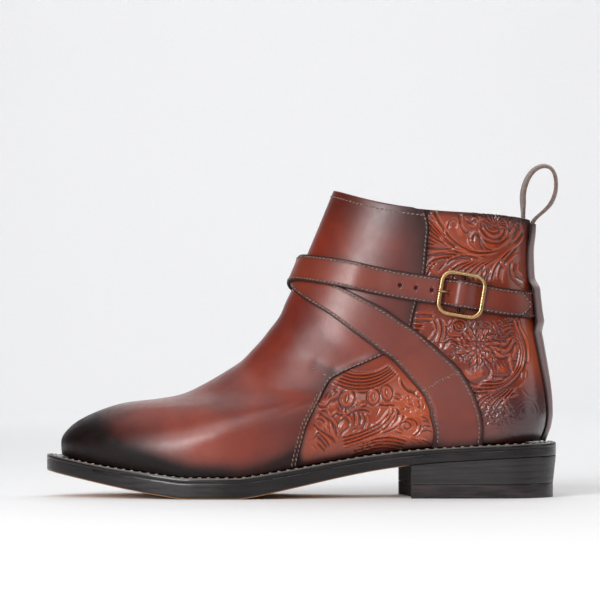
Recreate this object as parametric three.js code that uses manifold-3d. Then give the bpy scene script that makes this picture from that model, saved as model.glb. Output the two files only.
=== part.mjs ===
// Jodhpur boot for the left foot: a welted ankle boot whose two straps cross over the instep.
// Millimetres, +Z up. The toe points to -X, the outer side of the foot faces -Y, and the floor is Z = 0.
// Lengths along the boot (at) run from the toe, 0, to the back of the heel, 1.

import * as THREE from "three";
import { mergeVertices } from "three/addons/utils/BufferGeometryUtils.js";
import Module from "manifold-3d";

const wasm = await Module();
wasm.setup();

// Sole unit
const SOLE_LENGTH = 305.4;
const BALL_WIDTH = 106;
const HEEL_WIDTH = 71;
const TOE_TAPER = 92;
const HEEL_TAPER = 33;
const TOE_SPRING = 15.5;
const HEEL_LIFT = 24.6;
const FOREPART_THICKNESS = 9.1;
const SEAT_THICKNESS = 4.9;
const SOLE_BEVEL = 1.2;
const WELT_THICKNESS = 3;
const WELT_WIDTH = 14;
const WELT_REVEAL = 5.6;
const SEAT_REVEAL = 3.6;
const TOP_PIECE_THICKNESS = 8.3;
const HEEL_LENGTH = 88;
const BREAST_SKEW = 5.5;
const BREAST_HOLLOW = 3;
const HEEL_RAKE = 2;

// Upper
const TOE_BOX_HEIGHT = 42;
const INSTEP_RISE = 55;
const SHAFT_RISE = 63;
const BACK_RISE = 132;
const COLLAR_DIP = 4.7;
const ANKLE_WIDTH = 67;
const COLLAR_WIDTH = 63;
const SIDE_SWELL = 2.4;
const WALL = 2;
const VAMP_LAP = 1;
const INSOLE_RISE = 2.4;

// Straps
const STRAP_WIDTH = 16.5;
const STRAP_FOOT_WIDTH = 28.8;
const STRAP_THICKNESS = 1.9;
const DRAPE_FROM = 9;
const DRAPE_TO = 19;
const CHAPE_THICKNESS = 1.1;
const CHAPE_TURN = 6.5;
const CROSSING_REACH = 46;
const CROSSING_RAMP = 20;
const STRAP_POINT = 9;
const STRAP_TIP = 1.5;
const STRAP_HOLE = 2.2;
const HOLE_PITCH = 9.5;
const HOLES = 3;

// Backstay and pull loop
const BACKSTAY_WIDTH = 30;
const BACKSTAY_THICKNESS = 2;
const BACKSTAY_RAMP = 8;
const LOOP_HEIGHT = 34;
const LOOP_DEPTH = 20;
const LOOP_WIDTH = 12;
const LOOP_THICKNESS = 1.8;

// Buckle
const BUCKLE_LENGTH = 28;
const BUCKLE_HEIGHT = 27;
const BUCKLE_CORNER = 6;
const BUCKLE_WIRE = 2.5;
const BUCKLE_STAND = 5.5;
const BUCKLE_TILT = 0.035;
const BAR_WIRE = 2;
const BAR_STAND = 4.5;
const PRONG_WIRE = 1.6;
const PRONG_HOLE = -7.6;
const PRONG_HOLE_REACH = 3.4;

// Gaps kept between pieces: on flat faces, and under a piece laid over a curve
const GAP = 0.3;
const REST = 0.45;

// The bottom of the outsole: its lift above the floor, as shares of the toe spring and of the heel lift.
const SOLE_LINE = [
  { at: 0, toe: 1, heel: 0 },
  { at: 0.0491, toe: 0.81, heel: 0 },
  { at: 0.1078, toe: 0.57, heel: 0 },
  { at: 0.1665, toe: 0.34, heel: 0 },
  { at: 0.2233, toe: 0.15, heel: 0 },
  { at: 0.283, toe: 0, heel: 0 },
  { at: 0.3726, toe: 0, heel: 0 },
  { at: 0.4124, toe: 0, heel: 0.06 },
  { at: 0.4592, toe: 0, heel: 0.185 },
  { at: 0.5179, toe: 0, heel: 0.345 },
  { at: 0.5736, toe: 0, heel: 0.5 },
  { at: 0.6334, toe: 0, heel: 0.646 },
  { at: 0.6921, toe: 0, heel: 0.756 },
  { at: 0.7508, toe: 0, heel: 0.833 },
  { at: 0.8683, toe: 0, heel: 0.927 },
  { at: 1, toe: 0, heel: 1 },
];

// How far the outsole is from its seat thickness (0) to its forepart thickness (1).
const SOLE_SUBSTANCE = [
  { at: 0, fore: 0.43 },
  { at: 0.1, fore: 0.55 },
  { at: 0.2, fore: 0.86 },
  { at: 0.3, fore: 1 },
  { at: 0.4, fore: 0.97 },
  { at: 0.5, fore: 0.66 },
  { at: 0.63, fore: 0.3 },
  { at: 0.8, fore: 0.06 },
  { at: 1, fore: 0 },
];

// Half width of the sole before its ends are rounded, as shares of half the ball width and half the heel
// width, and the swing of its middle line towards the inner side, as a share of half the ball width.
const OUTLINE = [
  { at: 0, ball: 0.93, heel: 0, swing: 0.13 },
  { at: 0.15, ball: 0.965, heel: 0, swing: 0.095 },
  { at: 0.33, ball: 1, heel: 0, swing: 0 },
  { at: 0.45, ball: 0.72, heel: 0.27, swing: -0.055 },
  { at: 0.55, ball: 0.35, heel: 0.58, swing: -0.1 },
  { at: 0.65, ball: 0.08, heel: 0.85, swing: -0.09 },
  { at: 0.75, ball: 0, heel: 0.97, swing: -0.05 },
  { at: 0.87, ball: 0, heel: 1, swing: -0.02 },
  { at: 1, ball: 0, heel: 0.98, swing: 0 },
];

// Rings round the upper, from the feather line (0) to the collar (13). Each runs from the ridge of the vamp
// and shin (front) to the back of the heel (back). Front heights are shares of the toe box, instep and shaft
// rises, and back heights are shares of the back rise, all above the feather line. droop follows the
// feather line's own curve, and the tapers say over what length an end rounds off, as shares of the sole's
// length and the heel's width. shaft turns the foot's width into the shaft's, and swell fills the side out.
const RINGS = [
  { frontAt: 0.0293, toe: 0.007, instep: 0, shank: 0, backAt: 0.9757, back: 0.002, droop: 1, frontTaper: 0.276, backTaper: 0.48, shaft: 0, swell: 0 },
  { frontAt: 0.0276, toe: 0.155, instep: 0, shank: 0, backAt: 0.9811, back: 0.034, droop: 0.93, frontTaper: 0.268, backTaper: 0.48, shaft: 0, swell: 0.55 },
  { frontAt: 0.0309, toe: 0.275, instep: 0, shank: 0, backAt: 0.9855, back: 0.061, droop: 0.86, frontTaper: 0.266, backTaper: 0.48, shaft: 0, swell: 0.85 },
  { frontAt: 0.0452, toe: 0.422, instep: 0, shank: 0, backAt: 0.9884, back: 0.091, droop: 0.78, frontTaper: 0.275, backTaper: 0.49, shaft: 0, swell: 1 },
  { frontAt: 0.0763, toe: 0.617, instep: 0, shank: 0, backAt: 0.99, back: 0.129, droop: 0.68, frontTaper: 0.315, backTaper: 0.5, shaft: 0, swell: 1 },
  { frontAt: 0.1385, toe: 0.867, instep: 0, shank: 0, backAt: 0.9894, back: 0.182, droop: 0.55, frontTaper: 0.37, backTaper: 0.52, shaft: 0.05, swell: 0.85 },
  { frontAt: 0.2014, toe: 1, instep: 0, shank: 0, backAt: 0.9875, back: 0.232, droop: 0.45, frontTaper: 0.385, backTaper: 0.54, shaft: 0.12, swell: 0.65 },
  { frontAt: 0.264, toe: 1, instep: 0.105, shank: 0, backAt: 0.9843, back: 0.288, droop: 0.36, frontTaper: 0.37, backTaper: 0.56, shaft: 0.22, swell: 0.4 },
  { frontAt: 0.3262, toe: 1, instep: 0.275, shank: 0, backAt: 0.9798, back: 0.352, droop: 0.27, frontTaper: 0.335, backTaper: 0.58, shaft: 0.36, swell: 0.2 },
  { frontAt: 0.386, toe: 1, instep: 0.495, shank: 0, backAt: 0.9739, back: 0.432, droop: 0.18, frontTaper: 0.29, backTaper: 0.6, shaft: 0.54, swell: 0.06 },
  { frontAt: 0.4338, toe: 1, instep: 0.735, shank: 0, backAt: 0.9671, back: 0.518, droop: 0.1, frontTaper: 0.243, backTaper: 0.62, shaft: 0.72, swell: 0 },
  { frontAt: 0.4676, toe: 1, instep: 1, shank: 0, backAt: 0.9606, back: 0.61, droop: 0.04, frontTaper: 0.208, backTaper: 0.64, shaft: 0.88, swell: 0 },
  { frontAt: 0.5164, toe: 1, instep: 1, shank: 0.5, backAt: 0.9539, back: 0.8, droop: 0, frontTaper: 0.182, backTaper: 0.64, shaft: 1, swell: 0 },
  { frontAt: 0.5626, toe: 1, instep: 1, shank: 1, backAt: 0.9534, back: 1, droop: 0, frontTaper: 0.172, backTaper: 0.6, shaft: 1, swell: 0 },
];
const COLLAR = RINGS.length - 1;
const INNER_TAPER = 0.92;
const DIP_FROM_RING = 11;
const DIP_SKEW = 1.6;

// The edge of the vamp and front panel, level by level, as a share of the way from back to front.
const PANEL_EDGE = [
  { level: 0, edge: 0.511 },
  { level: 2.8, edge: 0.511 },
  { level: 4.3, edge: 0.5275 },
  { level: 5.4, edge: 0.553 },
  { level: 6.9, edge: 0.603 },
  { level: 7.4, edge: 0.619 },
  { level: 7.75, edge: 0.622 },
  { level: 8.3, edge: 0.585 },
  { level: 8.8, edge: 0.535 },
  { level: 9.25, edge: 0.496 },
  { level: 10, edge: 0.479 },
  { level: 11, edge: 0.482 },
  { level: 11.7, edge: 0.475 },
  { level: 12.3, edge: 0.493 },
  { level: 12.75, edge: 0.515 },
  { level: 13, edge: 0.548 },
];

// Where the middle of a strap runs from the ridge of the instep: turn is 1 at the ridge and 0 at the back.
// The low leg goes down to the welt and widens, and the high leg goes round to the back of the shaft.
const LOW_LEG = [
  { level: 11.62, turn: 1, wide: 0 },
  { level: 11.44, turn: 0.86, wide: 0 },
  { level: 11.2, turn: 0.746, wide: 0.05 },
  { level: 10.92, turn: 0.667, wide: 0.2 },
  { level: 10.38, turn: 0.59, wide: 0.36 },
  { level: 9.64, turn: 0.523, wide: 0.48 },
  { level: 8.85, turn: 0.458, wide: 0.58 },
  { level: 7.17, turn: 0.375, wide: 0.8 },
  { level: 5.53, turn: 0.332, wide: 0.92 },
  { level: 3.86, turn: 0.3, wide: 1 },
  { level: 2, turn: 0.286, wide: 1 },
  { level: 0.35, turn: 0.282, wide: 1 },
];
const HIGH_LEG = [
  { level: 11.62, turn: 1, wide: 0 },
  { level: 11.66, turn: 0.88, wide: 0 },
  { level: 11.63, turn: 0.752, wide: 0 },
  { level: 11.565, turn: 0.66, wide: 0 },
  { level: 11.44, turn: 0.542, wide: 0 },
  { level: 11.34, turn: 0.4415, wide: 0 },
  { level: 11.266, turn: 0.378, wide: 0 },
  { level: 11.174, turn: 0.306, wide: 0 },
  { level: 11.1, turn: 0.252, wide: 0 },
  { level: 11.05, turn: 0.18, wide: 0 },
  { level: 11.04, turn: 0.1, wide: 0 },
  { level: 11.06, turn: 0, wide: 0 },
];
const BUCKLE_TURN = 0.379;
const TAIL_TURN = 0.124;

// The backstay's width, level by level, as a share of its greatest width.
const BACKSTAY = [
  { level: 0.25, wide: 0.7 },
  { level: 2.5, wide: 0.76 },
  { level: 5, wide: 0.84 },
  { level: 8, wide: 0.96 },
  { level: 10, wide: 1 },
  { level: 11.2, wide: 0.9 },
  { level: 12, wide: 0.88 },
  { level: 12.7, wide: 0.6 },
];

// The pull loop seen from the side, from its leg inside the collar to its leg outside: out as a share of the
// loop's depth and up as a share of its height, from the back of the collar.
const LOOP = [
  { out: -0.235, up: -0.35 },
  { out: -0.235, up: -0.1 },
  { out: -0.24, up: 0.08 },
  { out: -0.26, up: 0.3 },
  { out: -0.25, up: 0.53 },
  { out: -0.11, up: 0.77 },
  { out: 0.13, up: 0.93 },
  { out: 0.43, up: 0.975 },
  { out: 0.67, up: 0.86 },
  { out: 0.73, up: 0.6 },
  { out: 0.61, up: 0.355 },
  { out: 0.39, up: 0.19 },
  { out: 0.16, up: 0.07 },
  { out: 0.035, up: -0.04 },
  { out: 0.02, up: -0.13 },
];

// A smooth curve through a table's rows. With hold, it never swings past a row, so a flat stretch stays flat.
function curveThrough(rows, column, { key = "at", hold = false } = {}) {
  const n = rows.length;
  const x = rows.map((row, i) => row[key] ?? i);
  const y = rows.map((row) => row[column]);
  const step = x.slice(1).map((value, i) => value - x[i]);
  const slope = step.map((h, i) => (y[i + 1] - y[i]) / h);
  const tangent = hold ? heldTangents(slope) : naturalTangents(step, slope);
  return (at) => {
    let i = 0;
    while (i < n - 2 && at > x[i + 1]) i++;
    const h = step[i];
    const t = Math.min(Math.max((at - x[i]) / h, 0), 1);
    const u = 1 - t;
    return (
      y[i] * u * u * (1 + 2 * t) +
      y[i + 1] * t * t * (1 + 2 * u) +
      h * (tangent[i] * t * u * u - tangent[i + 1] * t * t * u)
    );
  };
}

// Tangents that keep each stretch between its two rows.
function heldTangents(slope) {
  const n = slope.length + 1;
  return Array.from({ length: n }, (_, i) => {
    if (i === 0) return slope[0];
    if (i === n - 1) return slope[n - 2];
    const [before, after] = [slope[i - 1], slope[i]];
    return before * after <= 0 ? 0 : (2 * before * after) / (before + after);
  });
}

// Tangents of the natural cubic spline, from its three-term equations.
function naturalTangents(step, slope) {
  const n = slope.length + 1;
  const lower = [0];
  const middle = [2];
  const upper = [1];
  const right = [3 * slope[0]];
  for (let i = 1; i < n - 1; i++) {
    lower.push(step[i]);
    middle.push(2 * (step[i] + step[i - 1]));
    upper.push(step[i - 1]);
    right.push(3 * (slope[i - 1] * step[i] + slope[i] * step[i - 1]));
  }
  lower.push(1);
  middle.push(2);
  upper.push(0);
  right.push(3 * slope[n - 2]);
  for (let i = 1; i < n; i++) {
    const share = lower[i] / middle[i - 1];
    middle[i] -= share * upper[i - 1];
    right[i] -= share * right[i - 1];
  }
  const tangent = new Array(n);
  tangent[n - 1] = right[n - 1] / middle[n - 1];
  for (let i = n - 2; i >= 0; i--) tangent[i] = (right[i] - upper[i] * tangent[i + 1]) / middle[i];
  return tangent;
}

// A quarter ellipse: 0 at an end, 1 from one taper away.
function roundOff(share) {
  const t = 1 - Math.min(Math.max(share, 0), 1);
  return Math.sqrt(1 - t * t);
}

function blend(a, b, share) {
  return a + (b - a) * share;
}

// 0 at and before from, 1 at and past to, and smooth between.
function ease(value, from, to) {
  const t = Math.min(Math.max((value - from) / (to - from), 0), 1);
  return t * t * (3 - 2 * t);
}

const soleToe = curveThrough(SOLE_LINE, "toe", { hold: true });
const soleHeel = curveThrough(SOLE_LINE, "heel", { hold: true });
const substance = curveThrough(SOLE_SUBSTANCE, "fore", { hold: true });
const ballShare = curveThrough(OUTLINE, "ball", { hold: true });
const heelShare = curveThrough(OUTLINE, "heel", { hold: true });
const swingShare = curveThrough(OUTLINE, "swing");

// Heights of the sole's layers at x, measured from the toe.
const soleBottom = (x) => TOE_SPRING * soleToe(x / SOLE_LENGTH) + HEEL_LIFT * soleHeel(x / SOLE_LENGTH);
const soleTop = (x) => soleBottom(x) + blend(SEAT_THICKNESS, FOREPART_THICKNESS, substance(x / SOLE_LENGTH));
const feather = (x) => soleTop(x) + REST + WELT_THICKNESS;
const upperFoot = (x) => feather(x) + REST;

// The sole's half width and middle line at x, with both ends still square.
const squareHalf = (x) =>
  (ballShare(x / SOLE_LENGTH) * BALL_WIDTH + heelShare(x / SOLE_LENGTH) * HEEL_WIDTH) / 2;
const middleLine = (x) => (swingShare(x / SOLE_LENGTH) * BALL_WIDTH) / 2;

// The welt shows this much outside the upper: most at the forepart, least at the seat.
const reveal = (x) => blend(WELT_REVEAL, SEAT_REVEAL, ease(x / SOLE_LENGTH, 0.4, 0.8));

// The sole's edge, drawn in by inset, on the outer (side -1) or inner (side 1) side.
function solePoint(angle, side, inset) {
  const share = (1 - Math.cos(angle)) / 2;
  const x = blend(inset, SOLE_LENGTH - inset, share);
  const half = (squareHalf(x) - inset) * roundOff((x - inset) / (TOE_TAPER - inset));
  const y = middleLine(x) + side * half * roundOff((SOLE_LENGTH - inset - x) / HEEL_TAPER);
  return { x, y };
}

// The sole is modelled round the middle of its own box, at the floor.
const SPREAD = Array.from({ length: 361 }, (_, i) => (i * Math.PI) / 360);
const OUTER_REACH = Math.min(...SPREAD.map((angle) => solePoint(angle, -1, 0).y));
const INNER_REACH = Math.max(...SPREAD.map((angle) => solePoint(angle, 1, 0).y));
const MIDDLE_Y = (OUTER_REACH + INNER_REACH) / 2;
const inBoot = (x, y, z) => new THREE.Vector3(x - SOLE_LENGTH / 2, y - MIDDLE_Y, z);

const ring = Object.fromEntries(
  Object.keys(RINGS[0]).map((column) => [column, curveThrough(RINGS, column)]),
);

// A point of the upper's face. around is 0 at the back, pi at the front and goes on over the inner side.
function facePoint(level, around) {
  const share = (1 - Math.cos(around)) / 2;
  const side = Math.sin(around) >= 0 ? -1 : 1;
  const back = SOLE_LENGTH * ring.backAt(level);
  const front = SOLE_LENGTH * ring.frontAt(level);
  const frontZ =
    upperFoot(front) +
    TOE_BOX_HEIGHT * ring.toe(level) +
    INSTEP_RISE * ring.instep(level) +
    SHAFT_RISE * ring.shank(level);
  const backZ = upperFoot(back) + BACK_RISE * ring.back(level);
  const x = blend(back, front, share);
  const droop = ring.droop(level) * (upperFoot(x) - blend(upperFoot(back), upperFoot(front), share));
  const dip = Math.max(level - DIP_FROM_RING, 0) / (COLLAR - DIP_FROM_RING);
  const z = blend(backZ, frontZ, share) + droop - COLLAR_DIP * dip * dip * Math.sin(Math.PI * share ** DIP_SKEW);
  const shaft = ring.shaft(level);
  const shaftHalf = blend(ANKLE_WIDTH, COLLAR_WIDTH, ease(level, COLLAR - 2, COLLAR)) / 2;
  const footHalf = squareHalf(x) - reveal(x) + SIDE_SWELL * ring.swell(level);
  const frontTaper = SOLE_LENGTH * ring.frontTaper(level) * (side < 0 ? 1 : INNER_TAPER);
  const backTaper = HEEL_WIDTH * ring.backTaper(level);
  const rounding = roundOff((x - front) / frontTaper) * roundOff((back - x) / backTaper);
  return inBoot(x, middleLine(x) * (1 - shaft) + side * blend(footHalf, shaftHalf, shaft) * rounding, z);
}

// How the face runs at a point: along around, along level, and straight out of it.
function faceFrame(level, around) {
  const small = 0.004;
  const low = Math.max(level - small, 0);
  const high = Math.min(level + small, COLLAR);
  const alongAround = facePoint(level, around + small)
    .sub(facePoint(level, around - small))
    .divideScalar(2 * small);
  const alongLevel = facePoint(high, around).sub(facePoint(low, around)).divideScalar(high - low);
  const out = alongLevel.clone().cross(alongAround).normalize();
  return { alongAround, alongLevel, out };
}

// A point at a height over the vamp's face. The quarter's face lies VAMP_LAP below it.
function overFace(level, around, height) {
  return facePoint(level, around).addScaledVector(faceFrame(level, around).out, height);
}

const panelEdge = curveThrough(PANEL_EDGE, "edge", { key: "level" });

// How high the leather under a strap lies: on the panel 0, and beyond its edge down to the quarter.
function drape(level, around) {
  const share = (1 - Math.cos(around)) / 2;
  const length = SOLE_LENGTH * (ring.backAt(level) - ring.frontAt(level));
  const beyond = (panelEdge(level) - share) * length;
  return -VAMP_LAP * ease(beyond, DRAPE_FROM, DRAPE_TO);
}

// A closed mesh over a grid of points: each row is a closed loop. The rows join end to end, or their ends
// are capped by a fan round their middle.
function skin(rows, { joined = false, colour }) {
  const width = rows[0].length;
  const points = rows.flat();
  const faces = [];
  const last = joined ? rows.length : rows.length - 1;
  for (let i = 0; i < last; i++) {
    const [a, b] = [i * width, ((i + 1) % rows.length) * width];
    for (let j = 0; j < width; j++) {
      const k = (j + 1) % width;
      faces.push([a + j, a + k, b + k], [a + j, b + k, b + j]);
    }
  }
  if (!joined) {
    const caps = [
      { base: 0, turned: true },
      { base: (rows.length - 1) * width, turned: false },
    ];
    for (const { base, turned } of caps) {
      const centre = new THREE.Vector3();
      for (let j = 0; j < width; j++) centre.addScaledVector(points[base + j], 1 / width);
      const hub = points.push(centre) - 1;
      for (let j = 0; j < width; j++) {
        const [from, to] = [base + j, base + ((j + 1) % width)];
        faces.push(turned ? [hub, to, from] : [hub, from, to]);
      }
    }
  }
  const six = faces.reduce((sum, [a, b, c]) => {
    return sum + points[a].dot(new THREE.Vector3().crossVectors(points[b], points[c]));
  }, 0);
  const index = six > 0 ? faces.flat() : faces.flatMap(([a, b, c]) => [a, c, b]);
  const geometry = new THREE.BufferGeometry().setFromPoints(points);
  geometry.setIndex(index);
  return { geometry, colour };
}

// A geometry as a manifold solid, to be cut or joined.
function solidOf(geometry) {
  const bare = geometry.clone();
  bare.deleteAttribute("normal");
  bare.deleteAttribute("uv");
  const merged = mergeVertices(bare, 1e-4);
  return new wasm.Manifold(
    new wasm.Mesh({
      numProp: 3,
      vertProperties: merged.attributes.position.array,
      triVerts: new Uint32Array(merged.index.array),
    }),
  );
}

function geometryOf(solid) {
  const mesh = solid.getMesh();
  return new THREE.BufferGeometry()
    .setAttribute("position", new THREE.BufferAttribute(mesh.vertProperties, 3))
    .setIndex(new THREE.BufferAttribute(mesh.triVerts, 1));
}

const range = (count, low, high) =>
  Array.from({ length: count }, (_, i) => blend(low, high, i / (count - 1)));

// Materials
const DYED_CALF = { color: 0x7a2e1a, roughness: 0.38, metalness: 0 };
const TOOLED_CALF = { color: 0x8a3a20, roughness: 0.45, metalness: 0 };
const STRAP_CALF = { color: 0x5e2a20, roughness: 0.4, metalness: 0 };
const SOLE_EDGE_BLACK = { color: 0x1c1719, roughness: 0.35, metalness: 0 };
const HEEL_BLACK = { color: 0x232122, roughness: 0.45, metalness: 0 };
const RUBBER = { color: 0x1a191a, roughness: 0.6, metalness: 0 };
const LINING_TAN = { color: 0xb98a5c, roughness: 0.7, metalness: 0 };
const BRASS = { color: 0xb58a45, roughness: 0.3, metalness: 1 };

const boot = new THREE.Group();

function add(name, { geometry, colour }) {
  const mesh = new THREE.Mesh(geometry, new THREE.MeshStandardMaterial(colour));
  mesh.name = name;
  boot.add(mesh);
}

// Sole unit: plates whose cross-sections are laid across the boot, one for each station from toe to heel.
const TIP_ANGLE = 0.06;
const STATIONS = range(42, TIP_ANGLE, Math.PI - TIP_ANGLE);

function outsole() {
  const rows = STATIONS.map((angle) => {
    const outer = solePoint(angle, -1, 0);
    const inner = solePoint(angle, 1, 0);
    const [low, high] = [soleBottom(outer.x), soleTop(outer.x)];
    const bevel = Math.min(SOLE_BEVEL, (inner.y - outer.y) / 3);
    const section = [
      [outer.y, high],
      [outer.y, low + bevel],
      [outer.y + bevel, low],
      [inner.y - bevel, low],
      [inner.y, low + bevel],
      [inner.y, high],
    ];
    return section.map(([y, z]) => inBoot(outer.x, y, z));
  });
  return skin(rows, { colour: SOLE_EDGE_BLACK });
}

function welt() {
  const bevel = WELT_THICKNESS / 4;
  const turns = [
    ...STATIONS.map((angle) => ({ angle, side: -1 })),
    ...[...STATIONS].reverse().map((angle) => ({ angle, side: 1 })),
  ];
  const rows = turns.map(({ angle, side }) => {
    const edge = solePoint(angle, side, 0);
    const near = solePoint(angle, side, bevel);
    const far = solePoint(angle, side, WELT_WIDTH);
    return [
      inBoot(edge.x, edge.y, soleTop(edge.x) + REST),
      inBoot(edge.x, edge.y, feather(edge.x) - bevel),
      inBoot(near.x, near.y, feather(near.x)),
      inBoot(far.x, far.y, feather(far.x)),
      inBoot(far.x, far.y, soleTop(far.x) + REST),
    ];
  });
  return skin(rows, { joined: true, colour: SOLE_EDGE_BLACK });
}

// The insole fills the ring of the welt and lies out over it, up to the upper's wall.
function insole() {
  const plug = VAMP_LAP + WALL + REST + WELT_WIDTH - SEAT_REVEAL;
  const plate = VAMP_LAP + WALL + 2 * REST;
  const rows = range(32, 3 * TIP_ANGLE, Math.PI - 3 * TIP_ANGLE).map((around) => {
    const at = (depth, rise, turn) => {
      const { out } = faceFrame(0, turn);
      const point = facePoint(0, turn).addScaledVector(out.setZ(0).normalize(), -depth);
      const x = point.x + SOLE_LENGTH / 2;
      return point.setZ(rise < 0 ? soleTop(x) + 2 * GAP : upperFoot(x) + rise);
    };
    const inner = 2 * Math.PI - around;
    return [
      at(plug, -1, around),
      at(plug, -1, inner),
      at(plug, GAP / 2, inner),
      at(plate, GAP / 2, inner),
      at(plate, INSOLE_RISE, inner),
      at(plate, INSOLE_RISE, around),
      at(plate, GAP / 2, around),
      at(plug, GAP / 2, around),
    ];
  });
  return skin(rows, { colour: LINING_TAN });
}

// The heel's outline from breast to back, as plates under the seat. rake draws the back in towards the floor.
function heelBlock(bottomZ, topZ, rake, colour) {
  const steps = 18;
  const breastX = SOLE_LENGTH - HEEL_LENGTH;
  const rows = range(steps, 0, 1).map((share, i) => {
    const angle = Math.acos(1 - (2 * blend(breastX, SOLE_LENGTH, 1 - (1 - share) ** 2)) / SOLE_LENGTH);
    const safe = Math.min(angle, Math.PI - TIP_ANGLE);
    const outer = solePoint(safe, -1, 0);
    const inner = solePoint(safe, 1, 0);
    const fade = 1 - ease(share, 0, 0.6);
    const across = range(5, -1, 1);
    const foot = across.map((w) => {
      const skew = (-BREAST_SKEW * (w + 1)) / 2;
      const hollow = BREAST_HOLLOW * (1 - w * w) * fade;
      const x = outer.x + skew * fade + hollow - rake * share * share;
      return inBoot(x, blend(outer.y, inner.y, (w + 1) / 2), bottomZ);
    });
    const head = across.map((w) => {
      const skew = (-BREAST_SKEW * (w + 1)) / 2;
      const hollow = BREAST_HOLLOW * (1 - w * w) * fade;
      const x = outer.x + skew * fade + hollow;
      const z = typeof topZ === "number" ? topZ : topZ(x);
      return inBoot(x - (typeof topZ === "number" ? rake * share * share : 0), blend(outer.y, inner.y, (w + 1) / 2), z);
    });
    return [...foot, ...head.reverse()];
  });
  return skin(rows, { colour });
}

// The upper: its outer face steps down at the panel's edge, and its inner face follows it at the wall.
const QUARTER_COLUMNS = 12;
const PANEL_COLUMNS = 13;
const LAP_SLOPE = 0.0022;
const OUTER_LEVELS = [...range(25, 0, 12), 12.25, 12.5, 12.75, 12.9, COLLAR];
const INNER_LEVELS = [0, 1, 2, 3.5, 5, 6.5, 8, 9, 10, 10.75, 11.5, 12.25, COLLAR];

function wallPoint(level, around, depth) {
  const point = overFace(level, around, -depth);
  if (level === 0 || level === COLLAR) point.z = facePoint(level, around).z;
  return point;
}

function upper() {
  const quarter = range(QUARTER_COLUMNS, 0, 1).map((k) => ({ k, panel: false }));
  const panel = range(PANEL_COLUMNS, 0, 1).map((k) => ({ k, panel: true }));
  const half = [...quarter, ...panel];
  const mirrored = half.slice(1, -1).reverse().map((column) => ({ ...column, mirrored: true }));
  const rows = [...half, ...mirrored].map((column) => {
    const aroundAt = (level) => {
      const edge = Math.acos(1 - 2 * panelEdge(level));
      const from = column.panel ? edge + LAP_SLOPE : 0;
      const to = column.panel ? Math.PI : edge - LAP_SLOPE;
      const around = blend(from, to, column.k);
      return column.mirrored ? 2 * Math.PI - around : around;
    };
    const step = column.panel ? 0 : VAMP_LAP;
    const outer = OUTER_LEVELS.map((level) => wallPoint(level, aroundAt(level), step));
    const inner = [...INNER_LEVELS].reverse().map((level) => wallPoint(level, aroundAt(level), VAMP_LAP + WALL));
    return [...outer, ...inner];
  });
  return skin(rows, { joined: true, colour: DYED_CALF });
}

// A path over the upper, measured in millimetres from its start.
function pathOver(knots) {
  const level = curveThrough(knots, "level", { key: "none" });
  const around = curveThrough(knots, "around", { key: "none" });
  const wide = curveThrough(knots, "wide", { key: "none" });
  const marks = range(40 * (knots.length - 1) + 1, 0, knots.length - 1).map((t) => ({ t, length: 0 }));
  let before = facePoint(level(0), around(0));
  for (let i = 1; i < marks.length; i++) {
    const point = facePoint(level(marks[i].t), around(marks[i].t));
    marks[i].length = marks[i - 1].length + point.distanceTo(before);
    before = point;
  }
  const total = marks[marks.length - 1].length;
  const toT = (length) => {
    let i = 0;
    while (i < marks.length - 2 && length > marks[i + 1].length) i++;
    const [from, to] = [marks[i], marks[i + 1]];
    return from.t + ((to.t - from.t) * (length - from.length)) / (to.length - from.length);
  };
  // The length at which the path has turned as far as asked.
  const lengthTo = (goal) => {
    const turned = marks.map((mark) => around(mark.t) - goal);
    const i = turned.findIndex((value, k) => k > 0 && value * turned[k - 1] <= 0);
    const share = turned[i - 1] / (turned[i - 1] - turned[i]);
    return blend(marks[i - 1].length, marks[i].length, share);
  };
  // The point of the upper a step across the path from its middle.
  const across = (length, offset) => {
    const t = toT(length);
    const [l, a] = [level(t), around(t)];
    const small = 0.002;
    const along = facePoint(level(t + small), around(t + small)).sub(facePoint(level(t - small), around(t - small)));
    const { alongAround, alongLevel, out } = faceFrame(l, a);
    const side = out.clone().cross(along).normalize();
    const [aa, al, ll] = [alongAround.dot(alongAround), alongAround.dot(alongLevel), alongLevel.dot(alongLevel)];
    const [sa, sl] = [side.dot(alongAround), side.dot(alongLevel)];
    const whole = aa * ll - al * al;
    return {
      level: Math.min(Math.max(l + ((sl * aa - sa * al) / whole) * offset, 0.12), COLLAR),
      around: a + ((sa * ll - sl * al) / whole) * offset,
    };
  };
  return { total, lengthTo, across, wide: (length) => wide(toT(length)) };
}

// A band laid along a path. Each row gives its width and its lower and upper faces, each a height over the
// leather at a length along the path.
function band(path, rows, { points = 4, colour }) {
  const loops = rows.map(({ width, lower, upper }) => {
    const place = ({ length, height }, share) => {
      const spot = path.across(length, (share * width) / 2);
      return overFace(spot.level, spot.around, drape(spot.level, spot.around) + height);
    };
    const shares = range(points, -1, 1);
    return [
      ...shares.map((share) => place(lower, share)),
      ...shares.map((share) => place(upper, share)).reverse(),
    ];
  });
  return skin(loops, { colour });
}

const flatRow = (length, width, height, thickness) => ({
  width,
  lower: { length, height },
  upper: { length, height: height + thickness },
});

// Lengths from one value to another, about a step apart.
const lengths = (from, to, step) => range(Math.max(Math.round(Math.abs(to - from) / step), 1) + 1, from, to);

const outerSide = (row) => ({ ...row, around: row.turn * Math.PI });
const innerSide = (row) => ({ ...row, around: (2 - row.turn) * Math.PI });
const widen = (path, length) => blend(STRAP_WIDTH, STRAP_FOOT_WIDTH, path.wide(length));
const STRAP_STEP = 6;
const RIDGE_REACH = 24;
const TURN_ROWS = 7;

// Lengths from a strap's start to past the ridge of the instep, closer together over it.
function overRidge(path) {
  const ridge = path.lengthTo(Math.PI);
  return [
    ...lengths(0, ridge - RIDGE_REACH, STRAP_STEP),
    ...lengths(ridge - RIDGE_REACH, ridge + RIDGE_REACH, STRAP_STEP * 0.58).slice(1),
  ];
}

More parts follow.
